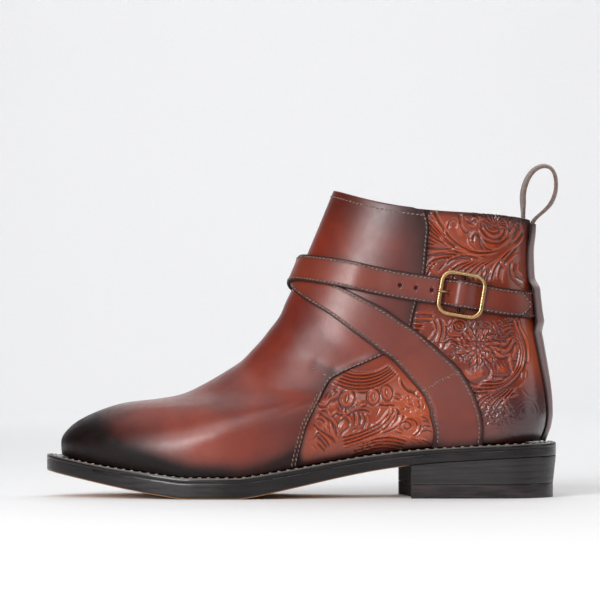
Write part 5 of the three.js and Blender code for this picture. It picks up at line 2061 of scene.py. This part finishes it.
    def over_skin(self) -> Patch:
        """The over strap, through the buckle to its pointed end, with its holes punched.

        Returns:
            The strap.
        """
        route = self.over
        spots = self.over_bar + self.prong_hole - self.hole_pitch * np.arange(0, self.holes + 1)
        coarse = np.arange(0, self.over_tip - self.point, self.step)
        tip = self.over_tip - self.point + self.point * (1 - (1 - np.linspace(0, 1, 24)) ** 1.6)
        fine = np.concatenate([spot + np.arange(-2.4, 2.41, 0.3) for spot in spots])
        keep = np.abs(coarse[:, None] - spots).min(axis=1) > 2.8
        length = np.sort(np.concatenate([coarse[keep], fine, tip]))
        beyond = np.maximum(length - self.over_tip + self.point, 0) / self.point
        width = self.spread(route, length) * blend(1, self.tip / self.width, beyond**1.15)
        height = self.over_height(length)
        thick = self.thickness - self.gap / 2
        points, near = self.band(route, (length, height), (length, height + thick), width)
        marks = self.edge_marks(near, width, points)
        across, up = self.section()
        beside = np.abs(length[:, None] - spots).min(axis=1)[:, None]
        from_hole = np.hypot(beside, width[:, None] / 2 * across)
        pit = (1 - ease(from_hole, self.hole * 0.36, self.hole * 0.62)) * (up > 0.8)
        out = unit(self.lay(route, length[:, None], 0, height[:, None] + 1)
                   - self.lay(route, length[:, None], 0, height[:, None]))
        points = points - out * (pit * 1.3)[..., None]
        # painted shade: the holes' pits are coloured as dark as the darkest marks
        marks["burnish"] = np.maximum(marks["burnish"], pit)
        return tube(points, marks)

    def stitching(self) -> Patch:
        """A row along each edge of both straps, and the zigzag seam across the under strap.

        Returns:
            All the stitches.
        """
        thread, rows = Thread(), []

        def sewn(route: Route, length: Array, offset: Array, height: Array) -> None:
            """Adds a row."""
            line = self.lay(route, length, offset, height)
            rows.append(thread.row(line, self.lay(route, length, offset, height + 1) - line))

        length = np.arange(3, self.under_bar - 6, 0.3)
        near_bar = self.under_bar - self.buckle_length / 2
        thin = ease(length, self.under_bar - 2 * self.buckle_length, near_bar)
        climb = ease(length, near_bar, self.under_bar)
        chape = self.bar_stand - self.bar_wire / 2 - self.rest - self.chape_thickness
        top = blend(self.rest, chape, climb) + blend(self.thickness, self.chape_thickness, thin)
        for side in (-1, 1):
            sewn(self.under, length, side * 0.41 * self.spread(self.under, length), top - 0.02)
        length = np.arange(3, self.over_tip - 2.4, 0.3)
        beyond = np.maximum(length - self.over_tip + self.point, 0) / self.point
        half = self.spread(self.over, length) * blend(1, self.tip / self.width, beyond**1.15) / 2
        top = self.over_height(length) + self.thickness - self.gap / 2
        inset = 1.55 + 1.3 * self.over.wide(self.over.knot(length))
        for side in (-1, 1):
            sewn(self.over, length, side * (half - inset), top - 0.02)
        spots = self.lay(self.under, length, 0.0, 2.0)
        at = length[np.argmin(np.hypot(*(spots[:, (0, 2)] - self.seam_at).T) + 1e3 * (spots[:, 1] > 0))]
        share = np.linspace(-0.86, 0.86, 240)
        zigzag = 0.7 * (2 * np.abs(2 * (share * 6 % 1) - 1) - 1)
        half = float(self.spread(self.under, at)) / 2
        top = self.rest + self.thickness + 0 * share
        sewn(self.under, at + 3.0 * share + zigzag, share * half, top - 0.02)
        return joined(rows)

    def build(self, calf: Material, thread: Material) -> None:
        """Makes both straps and their stitches."""
        fit("strap_under_band", self.under_skin(), calf, Slot.STRAP, "strap_under")
        fit("strap_over_band", self.over_skin(), calf, Slot.STRAP, "strap_over")
        fit("strap_stitches", self.stitching(), thread, Slot.STRAP)


@dataclass
class Backstay:
    """The strip over the back seam, which lifts over the strap beneath it."""

    straps: Straps
    width: float = 30
    thickness: float = 2
    ramp: float = 8
    # level, share of the greatest width
    shape: tuple = (
        (0.25, 0.7), (2.5, 0.76), (5, 0.84), (8, 0.96), (10, 1), (11.2, 0.9), (12, 0.88), (12.93, 0.6),
    )
    edge: float = 0.3

    def skin(self) -> Patch:
        """The strip: its section carried up the back seam.

        Returns:
            The closed piece.
        """
        table, straps = np.array(self.shape), self.straps
        route = Route(straps.last, np.stack([table[:, 0], 0 * table[:, 0], table[:, 1]], axis=1))
        length = np.linspace(0, route.total, 150)
        middle = length[np.argmin(np.abs(route.across(length, 0.0)[0] - straps.high_leg[-1][0]))]
        flat = straps.width / 2 + 1
        over = 1 - ease(np.abs(length - middle), flat, flat + self.ramp)
        top = ease(length, route.total - 18, route.total - 3)
        height = 0.25 + over * (straps.thickness + straps.rest + 0.35) + 1.3 * top
        width = self.width * route.wide(route.knot(length))
        across, up = straps.section()
        section = (across, up * blend(self.edge, 1, ease(1 - np.abs(across), 0, 0.5)))
        points, near = straps.band(
            route, (length, height), (length, height + self.thickness), width, section
        )
        marks = straps.edge_marks(near, width, points)
        # grey all over: the strip's pale tone, partly its own and partly a painted sheen of its grazing view
        marks["grey"] = 0.6 + 0 * marks["warm"]
        marks["burnish"] = np.maximum(marks["burnish"], 0.8 * ease(points[..., 2], 150, 168))
        return tube(points, marks)

    def build(self, calf: Material) -> None:
        """Makes the backstay."""
        fit("backstay_strip", self.skin(), calf, Slot.CALF, "backstay")


@dataclass
class PullLoop:
    """A ribbon of leather bent into a loop over the back of the collar."""

    last: Last
    height: float = 34
    depth: float = 20
    width: float = 12
    thickness: float = 2
    twist: float = 0.14
    # out and up from the back of the collar, as shares of depth and height
    shape: tuple = (
        (-0.235, -0.35), (-0.235, -0.1), (-0.24, 0.08), (-0.26, 0.3), (-0.25, 0.53), (-0.11, 0.77),
        (0.13, 0.93), (0.43, 0.975), (0.67, 0.86), (0.73, 0.6), (0.61, 0.355), (0.39, 0.19), (0.16, 0.07),
        (0.035, -0.04), (0.02, -0.13),
    )

    def skin(self) -> Patch:
        """The ribbon: a rounded flat section carried along the loop, bowed to the collar near its legs.

        Returns:
            The closed piece.
        """
        table = np.array(self.shape)
        index = np.arange(len(table))
        out, up = Curve(index, table[:, 0]), Curve(index, table[:, 1])
        collar = self.last.face(float(self.last.collar), 0.0)
        radius = (self.last.collar_width / 2) ** 2 / (
            self.last.heel_width * float(self.last.ring["back_taper"](self.last.collar))
        )
        t = np.linspace(0, index[-1], 150)

        def centre(at: Array) -> Array:
            """The ribbon's middle line."""
            x, z = collar[0] + self.depth * out(at), collar[2] + self.height * up(at)
            return np.stack([x, 0 * at, z], axis=-1)

        along = unit(centre(np.minimum(t + 0.01, index[-1])) - centre(np.maximum(t - 0.01, 0)))
        normal = np.stack([-along[:, 2], 0 * t, along[:, 0]], axis=-1)
        twist = (self.twist * ease(up(t), 0.05, 0.4))[:, None]
        swing = np.linspace(0, 2 * np.pi, 33)[:-1]
        across = np.sign(np.cos(swing)) * np.abs(np.cos(swing)) ** 0.3
        through = np.sign(np.sin(swing)) * np.abs(np.sin(swing)) ** 0.7
        y = across * self.width / 2
        curl = 1 - ease(up(t), 0, 0.35)
        bow = -curl[:, None] * y**2 / (2 * radius)
        deep = np.cos(twist) * through * self.thickness / 2 + np.sin(twist) * y
        wide = np.cos(twist) * y - np.sin(twist) * through * self.thickness / 2
        points = centre(t)[:, None] + normal[:, None] * deep[..., None]
        points = points + np.stack([bow, collar[1] + wide, 0 * bow], axis=-1)
        return tube(points)

    def build(self, leather: Material) -> None:
        """Makes the loop."""
        fit("pull_loop_ribbon", self.skin(), leather, Slot.STRAP, "pull_loop")


# Buckle


@dataclass
class Buckle:
    """The brass frame, its bar and its prong, set in a plane over the straps."""

    straps: Straps
    length: float = 28
    height: float = 27
    corner: float = 6
    wire: float = 2.5
    stand: float = 5.5
    bar_wire: float = 2
    bar_stand: float = 4.5
    prong_wire: float = 1.6
    gap: float = 0.3

    def __post_init__(self) -> None:
        """Finds the buckle's place: along the strap, across it, and out from it."""
        straps, bar = self.straps, self.straps.over_bar

        def spot(length: float) -> Array:
            """A point of the leather under the strap's middle."""
            return straps.lay(straps.over, length, 0.0, 0.0)

        self.origin = spot(bar)
        self.along = unit(spot(bar + self.length / 2) - spot(bar - self.length / 2))
        out = straps.last.slopes(*straps.over.across(bar, 0.0))[2]
        self.out = unit(out - self.along * (out @ self.along))
        self.across = np.cross(self.out, self.along)

    def place(self, along: Array, across: Array, out: Array) -> Array:
        """A point in the buckle's own directions."""
        parts = ((along, self.along), (across, self.across), (out, self.out))
        return self.origin + sum(np.asarray(value, float)[..., None] * axis for value, axis in parts)

    def rod(self, line: Array, section: Array, closed: bool) -> Array:
        """A section carried along a line, with its second direction kept towards the buckle's out.

        Args:
            line: points of the middle.
            section: rows of side and out, in millimetres.
            closed: whether the line comes back to its start.

        Returns:
            The points, rows by section points.
        """
        if closed:
            along = unit(np.roll(line, -1, axis=0) - np.roll(line, 1, axis=0))
        else:
            along = unit(np.gradient(line, axis=0))
        side = unit(np.cross(along, self.out))
        up = np.cross(side, along)
        return line[:, None] + side[:, None] * section[:, :1] + up[:, None] * section[:, 1:]

    @staticmethod
    def oval(width: float, height: float, power: float = 1.0, count: int = 20) -> Array:
        """An oval section, squarer the smaller the power.

        Args:
            width: its width.
            height: its height.
            power: 1 for an ellipse, less for a squarer section.
            count: how many points it has.

        Returns:
            Its points, one a row.
        """
        swing = np.linspace(0, 2 * np.pi, count + 1)[:-1]
        c, s = np.cos(swing), np.sin(swing)
        wide, tall = np.sign(c) * np.abs(c) ** power * width, np.sign(s) * np.abs(s) ** power * height
        return np.stack([wide, tall], axis=1) / 2

    def frame_skin(self) -> Patch:
        """The frame, a rounded rectangle of bevelled wire, and its bar.

        Returns:
            The frame and bar.
        """
        half, tall = (self.length - self.wire) / 2, (self.height - self.wire) / 2
        quarter = np.linspace(0, np.pi / 2, 14)
        a, c = [], []
        for number, (sa, sc) in enumerate(((1, 1), (-1, 1), (-1, -1), (1, -1))):
            turn = quarter + number * np.pi / 2
            a.append(sa * (half - self.corner) + self.corner * np.cos(turn))
            c.append(sc * (tall - self.corner) + self.corner * np.sin(turn))
        line = self.place(np.concatenate(a), np.concatenate(c), self.stand)
        section = self.oval(self.wire * 1.04, self.wire * 0.96, 0.8, 24)
        ring = self.rod(line, section, True)
        rim = ease(section[:, 1] / self.wire * 2, 0.1, 0.8) + 0 * ring[..., 0]
        bar_line = self.place(0, np.linspace(-tall, tall, 12), self.bar_stand)
        bar = self.rod(bar_line, self.oval(self.bar_wire, self.bar_wire, 1, 16), False)
        return joined([
            turned_out(grid(ring, wrap_rows=True, wrap_columns=True, marks={"rim": rim})),
            tube(bar),
        ])

    def prong_skin(self) -> Patch:
        """The prong, up through the strap's hole and over the frame.

        Returns:
            The prong.
        """
        hole = self.straps.prong_hole
        start = -(self.bar_wire / 2 + self.gap + self.prong_wire / 2)
        end = -self.length / 2 - self.prong_wire / 4
        top = self.stand + self.wire / 2 + self.prong_wire / 2 + self.gap
        a = np.array([start, blend(start, hole, 0.8), blend(hole, end, 0.25), blend(hole, end, 0.6), end])
        h = np.array([self.bar_stand, self.bar_stand + self.gap, blend(self.bar_stand, top, 0.62), top, top])
        t = np.linspace(0, 4, 40)
        line = self.place(Curve(np.arange(5), a)(t), 0, Curve(np.arange(5), h, hold=True)(t))
        thin = np.sqrt(1 - np.clip((t - 3.6) / 0.42, 0, 1) ** 2)
        section = self.oval(self.prong_wire, self.prong_wire, 1, 16)
        points = self.rod(line, section, False)
        points = line[:, None] + (points - line[:, None]) * thin[:, None, None]
        rim = ease(section[:, 1] / self.prong_wire * 2, 0, 0.8) + 0 * points[..., 0]
        return tube(points, {"rim": rim})

    def build(self, brass: Material) -> None:
        """Makes the frame and the prong."""
        fit("buckle_frame_brass", self.frame_skin(), brass, Slot.BRASS, "buckle_frame")
        fit("buckle_prong_brass", self.prong_skin(), brass, Slot.BRASS, "buckle_prong")


# Sole


@dataclass
class Sole:
    """Welt, outsole, heel stack, top piece and insole."""

    last: Last
    welt_width: float = 14
    heel_length: float = 88
    breast_skew: float = 5.5
    breast_hollow: float = 3
    heel_rake: float = 2
    top_piece: float = 8.3
    gap: float = 0.3
    steps: int = 180
    heel_places: int = 139

    def rim(self, inset: Array, height: Array, level: Surface | list[Surface]) -> Array:
        """Loops round the sole.

        Args:
            inset: how far each loop is drawn in.
            height: how far each loop lies over a surface.
            level: the surface's height as a function of x from the toe, one or one a loop.

        Returns:
            Points, loops by 2 * steps - 2 places. The outer side comes first, from toe to heel.
        """
        turn = np.linspace(0, np.pi, self.steps)
        turn = np.concatenate([turn, turn[-2:0:-1]])
        side = np.concatenate([-np.ones(self.steps), np.ones(self.steps - 2)])
        x, y = self.last.edge_line(turn, side, np.asarray(inset, float)[:, None])
        levels = level if isinstance(level, list) else [level] * len(inset)
        z = np.stack([base(row) for base, row in zip(levels, x)]) + np.asarray(height, float)[:, None]
        return self.last.place(x, y, z)

    def plate(self, loops: Array, marks: dict[str, Array] | None = None) -> Patch:
        """A closed plate: the loops joined in order, and the first and last closed straight across.

        Args:
            loops: what rim makes.
            marks: values on the same grid.

        Returns:
            The plate.
        """
        rows, count = loops.shape[:2]
        patch = grid(loops, wrap_columns=True, marks=marks)
        outer = np.arange(1, self.steps - 1)
        inner = count - outer
        for row, turn in ((0, -1), (rows - 1, 1)):
            base = row * count
            span = np.stack([outer[:-1], outer[1:], inner[1:], inner[:-1]], axis=1) + base
            patch.quads = np.concatenate([patch.quads, span[:, ::turn]])
            heel = base + self.steps - 1
            tips = ([base, base + 1, base + count - 1], [heel - 1, heel, heel + 1])
            patch.others += [tip[::turn] for tip in tips]
        return turned_out(patch)

    def outsole_skin(self) -> Patch:
        """The outsole, with a rounded bottom edge and a set edge at the top.

        Returns:
            The outsole.
        """
        bottom, top = self.last.sole_bottom, self.last.sole_top
        inset = [18, 9, 4, 2.2, 0.9, 0.5, 0.2, 0.03, 0, 0, 0, 0.1, 2, 8, 18]
        seam = self.last.rest - 0.1
        height = [0, 0, 0, 0, 0.04, 0.15, 0.4, 0.8, 1.5, -0.9, seam - 0.1, seam, seam, seam, seam]
        levels = [bottom] * 9 + [top] * 6
        loops = self.rim(inset, height, levels)
        tan = np.array([1, 1, 1, 1, 1, 0.9, 0.4] + [0] * 8)[:, None]
        breast = self.last.sole_length - self.heel_length
        tan = tan * (1 - ease(loops[..., 0] - self.last.x_shift, breast - 6, breast))
        return self.plate(loops, {"tan": tan})

    def welt_skin(self) -> Patch:
        """The welt, a ring whose top slopes off at its edge.

        Returns:
            The welt.
        """
        inset = [self.welt_width, 0.5, 0.06, 0, 0, 0.2, 0.7, 1.6, 3.4, 7, self.welt_width]
        height = [0, 0, 0.02, 0.1, -1, -0.5, -0.12, -0.25, 0, 0, 0]
        under = self.over_sole
        levels = [under] * 4 + [self.last.feather] * 7
        loops = self.rim(inset, height, levels)
        # pale: a painted highlight along the welt's rounded top edge
        pale = np.array([0, 0, 0, 0, 0, 0.5, 0.4, 0, 0, 0, 0])[:, None]
        return turned_out(grid(loops, wrap_rows=True, wrap_columns=True, marks={"pale": pale}))

    def over_sole(self, x: Array) -> Array:
        """Height of the welt's underside at x."""
        return self.last.sole_top(x) + self.last.rest

    def heel_ring(self, rake: float, inset: float) -> tuple[Array, Array]:
        """The heel's outline from the breast's outer corner round the back and across the breast.

        Args:
            rake: how far its back is drawn in.
            inset: how far the whole is drawn in.

        Returns:
            x from the toe, and y.
        """
        last, breast = self.last, self.last.sole_length - self.heel_length
        share = np.linspace(0, 1, (self.heel_places + 1) // 2)
        x0 = blend(breast + inset, last.sole_length - inset, 1 - (1 - share) ** 2)
        turn = np.arccos(np.clip(1 - 2 * (x0 - inset) / (last.sole_length - 2 * inset), -1, 1))
        fade = 1 - ease(share, 0, 0.6)
        x, outer = last.edge_line(turn, -1.0, inset)
        inner = last.edge_line(turn, 1.0, inset)[1]
        across = np.linspace(1, -1, 24)[1:-1]
        xs = np.concatenate([
            x - rake * share**2,
            (x - self.breast_skew * fade - rake * share**2)[::-1][1:],
            x[0] - self.breast_skew * (across + 1) / 2 + self.breast_hollow * (1 - across**2),
        ])
        ys = np.concatenate([outer, inner[::-1][1:], blend(outer[0], inner[0], (across + 1) / 2)])
        return xs, ys

    def heel_skin(self, low: float, high: float | Surface, lifts: int, rake_low: float,
                  rake_high: float) -> Patch:
        """A block of heel lifts: its outline at a row of heights, drawn in a little between lifts.

        Args:
            low: its bottom.
            high: its top.
            lifts: how many lifts it has.
            rake_low: how far its back is drawn in at the bottom.
            rake_high: how far at the top.

        Returns:
            The block.
        """
        rows, insets, rakes = [], [], []
        for lift in range(lifts):
            rows += [lift + 0.0, lift + 0.03, lift + 0.97]
            insets += [0.012 if lift else 0.25, 0, 0]
        rows.append(float(lifts))
        insets.append(0.02)
        shares = np.array(rows) / lifts
        loops = []
        for share, inset in zip(shares, insets):
            x, y = self.heel_ring(blend(rake_low, rake_high, share), inset)
            top = high(x) if callable(high) else high
            loops.append(self.last.place(x, y, blend(low, top, share)))
        # painted shade: the breast, under the arch, is marked to be darker and matte
        breast = np.arange(loops[0].shape[0]) >= self.heel_places
        return tube(np.stack(loops), {"edge": breast * 0.9})

    def under_seat(self, x: Array) -> Array:
        """Height of the heel stack's top at x, close under the outsole."""
        return self.last.sole_bottom(x) - 0.06

    def welt_stitches(self) -> Patch:
        """The row of thread round the welt.

        Returns:
            The stitches.
        """
        loop = self.rim([2.3], [-0.08], self.last.feather)[0]
        loop = np.concatenate([loop, loop[:1]])
        thread = Thread(pitch=5.2, length=2.2, width=0.9, stand=0.45, slant=0.12)
        return thread.row(loop, np.array([0, 0, 1.0]) + 0 * loop)

    def insole_skin(self) -> Patch:
        """The insole, seen through the collar.

        Returns:
            The insole.
        """
        last = self.last
        around = np.linspace(0.1, np.pi - 0.1, self.steps)
        turns = np.concatenate([around, (2 * np.pi - around)[::-1]])
        out = last.slopes(np.zeros_like(turns), turns)[2] * np.array([1, 1, 0])
        edge = last.face(np.zeros_like(turns), turns)
        loops = []
        for depth, rise in ((16, 0.3), (4.5, 0.3), (3.9, 0.6), (3.9, 2.0), (4.3, 2.4), (8, 2.4), (16, 2.4)):
            point = edge - unit(out) * depth
            x = point[:, 0] - last.x_shift
            point[:, 2] = last.feather(x) + last.rest + rise
            loops.append(point)
        points = np.stack(loops)
        patch = grid(points, wrap_columns=True)
        count, pairs = len(turns), np.arange(self.steps)
        for row, turn in ((0, -1), (len(loops) - 1, 1)):
            span = np.stack([pairs[:-1], pairs[1:], count - 1 - pairs[1:], count - 1 - pairs[:-1]], axis=1)
            patch.quads = np.concatenate([patch.quads, (span + row * count)[:, ::turn]])
        return turned_out(patch)

    def build(self, edge: Material, welt: Material, heel: Material,
              rubber: Material, sock: Material, thread: Material) -> None:
        """Makes the sole's pieces.

        Args:
            edge: the outsole's finish.
            welt: the welt's finish.
            heel: the heel stack's finish.
            rubber: the top piece's finish.
            sock: the insole's finish.
            thread: the stitches' finish.
        """
        fit("outsole_leather", self.outsole_skin(), edge, Slot.SOLE, "outsole")
        fit("welt_strip", self.welt_skin(), welt, Slot.SOLE, "welt")
        stack = self.heel_skin(self.top_piece + self.gap / 2, self.under_seat, 4, self.heel_rake, 0)
        fit("heel_lifts", stack, heel, Slot.HEEL, "heel_stack")
        piece = self.heel_skin(0, self.top_piece, 1, self.heel_rake, self.heel_rake)
        fit("top_piece_rubber", piece, rubber, Slot.TOP_PIECE, "top_piece")
        fit("insole_sock", self.insole_skin(), sock, Slot.LINING, "insole")
        fit("welt_stitches", self.welt_stitches(), thread, Slot.SOLE)


# Studio


@dataclass(frozen=True)
class Lamp:
    """A soft rectangular light, in metres and watts, and the spot that it faces."""

    name: str
    place: tuple
    size: tuple
    watts: float
    aim: tuple = (0, 0, 0.1)

    def build(self) -> None:
        """Makes the light."""
        data = bpy.data.lights.new(self.name, "AREA")
        data.shape, data.size, data.size_y = "RECTANGLE", *self.size
        data.energy = self.watts
        lamp = bpy.data.objects.new(self.name, data)
        lamp.location = self.place
        lamp.rotation_euler = facing(self.place, self.aim)
        bpy.context.scene.collection.objects.link(lamp)


def facing(place: tuple, aim: tuple) -> Euler:
    """The turn that makes a light or camera look from a place to an aim."""
    return (Vector(aim) - Vector(place)).to_track_quat("-Z", "Y").to_euler()


@dataclass
class Studio:
    """A pale sweep of paper, soft lights and the camera at the photograph's angle."""

    eye: tuple = (-1.67, -2000, 78.6)
    aim: tuple = (-1.67, 0, 117.6)
    lens: float = 200
    sensor: float = 36
    far: float = 3200
    bend: float = 700
    top: float = 3000
    side: float = 4500
    room: str = "e9ebef"
    room_light: float = 0.09
    lamps: tuple = (
        Lamp("key", (-0.7, -1.6, 1.5), (1.4, 1.0), 20, aim=(0, 0, 0.08)),
        Lamp("front_left", (-1.15, -2.1, 0.66), (0.7, 0.8), 36),
        Lamp("front", (0.75, -2.3, 0.95), (0.9, 0.7), 6),
        Lamp("left", (-1.9, -0.6, 0.55), (0.9, 0.9), 0.5),
        Lamp("right", (1.8, -0.2, 0.5), (0.8, 0.9), 2.4),
        Lamp("top", (0.0, 0.15, 1.7), (2.0, 1.3), 10),
        Lamp("rear", (1.3, 1.4, 1.3), (1.2, 0.9), 8),
        Lamp("paper_light", (0, 2.4, 2.6), (3.0, 0.6), 45, aim=(0, 3.6, 0.5)),
    )

    def camera(self) -> None:
        """Makes the camera and makes it the scene's."""
        data = bpy.data.cameras.new("camera")
        data.lens, data.sensor_width, data.sensor_height = self.lens, self.sensor, self.sensor
        data.clip_end = 50
        camera = bpy.data.objects.new("camera", data)
        camera.location = Vector(self.eye) * MM
        camera.rotation_euler = facing(self.eye, self.aim)
        bpy.context.scene.collection.objects.link(camera)
        bpy.context.scene.camera = camera

    def sweep(self) -> bpy.types.Object:
        """The paper: flat under the boot and curved up far behind it.

        Returns:
            The paper's object.
        """
        turn, bend = np.linspace(0, np.pi / 2, 24), self.bend
        y = np.concatenate([[-self.side], self.far + bend * np.sin(turn), [self.far + bend]])
        z = np.concatenate([[0], bend - bend * np.cos(turn), [self.top]])
        points = np.stack([np.stack([0 * y + x, y, z], axis=1) for x in (-self.side, self.side)], axis=1)
        patch = turned_out(grid(points), np.array([0, 0, 1000.0]), -1)
        paper = Plain("fbfbfc", "f9f9fa", gloss=0.7, depth_mm=0.001)
        return mesh_piece("paper_sweep", patch, paper.material("paper"))

    def build(self) -> None:
        """Makes the sweep, the lights and the room's light."""
        self.sweep()
        world = bpy.data.worlds.new("room")
        world.use_nodes = True
        background = world.node_tree.nodes["Background"]
        background.inputs["Color"].default_value = tint(self.room)
        background.inputs["Strength"].default_value = self.room_light
        scene = bpy.context.scene
        scene.world = world
        scene.view_settings.view_transform = "Standard"
        for lamp in self.lamps:
            lamp.build()


def main() -> None:
    """Builds the boot piece by piece, and the studio round it."""
    logging.basicConfig(level=logging.INFO, format="%(name)s: %(message)s")
    studio = Studio()
    studio.camera()
    last = Last()
    calf = Calf().material("burnished_calf")
    tooled = Calf(
        ground="6c2412", warm="aa461c", dark="220b08", gloss=0.32, coat=1.0, coat_gloss=0.19, relief=1,
    ).material("tooled_calf")
    strap_calf = Calf(ground="5b1d15", warm="8c3a20", dark="2c1512", gloss=0.36).material("strap_calf")
    # the backstay's pale grey-pink is partly its own tone and partly a painted sheen
    stay = Calf(ground="7d5a58", warm="8d6660", grey="8c797b", dark="2a1c1c").material("backstay_calf")
    lining = Plain("a9774a", "b98a5c", gloss=0.65).material("lining_leather")
    ink = Inked().material("edge_ink")
    heel = Inked(ground="262324", worn="2e2a2c", gloss=0.42).material("heel_ink")
    rubber = Inked(ground="201a1b", worn="3b3032", gloss=0.42, coat=0.2).material("rubber")
    brass = AntiqueBrass().material("antique_brass")
    flesh = Plain("7a6258", "54413b", gloss=0.85, fuzz=0.35, blot_mm=1.5, depth_mm=0.2).material("flesh_side")
    dark_thread = Plain("4a3631", "8a7468", gloss=0.42, blot_mm=1.2).material("waxed_thread")
    # painted highlight: the welt thread is pale grey so that each stitch shows as a light dot
    welt_thread_painted_glint = Plain("6d645e", "9b9289", gloss=0.5, blot_mm=1.2).material("welt_thread_painted_glint")
    straps = Straps(last)
    Upper(last, Tooling(), straps.low_leg).build(calf, tooled, lining, dark_thread)
    straps.build(strap_calf, dark_thread)
    Backstay(straps).build(stay)
    PullLoop(last).build(flesh)
    Buckle(straps).build(brass)
    Sole(last).build(ink, ink, heel, rubber, lining, welt_thread_painted_glint)
    studio.build()


if __name__ == "__main__":
    main()
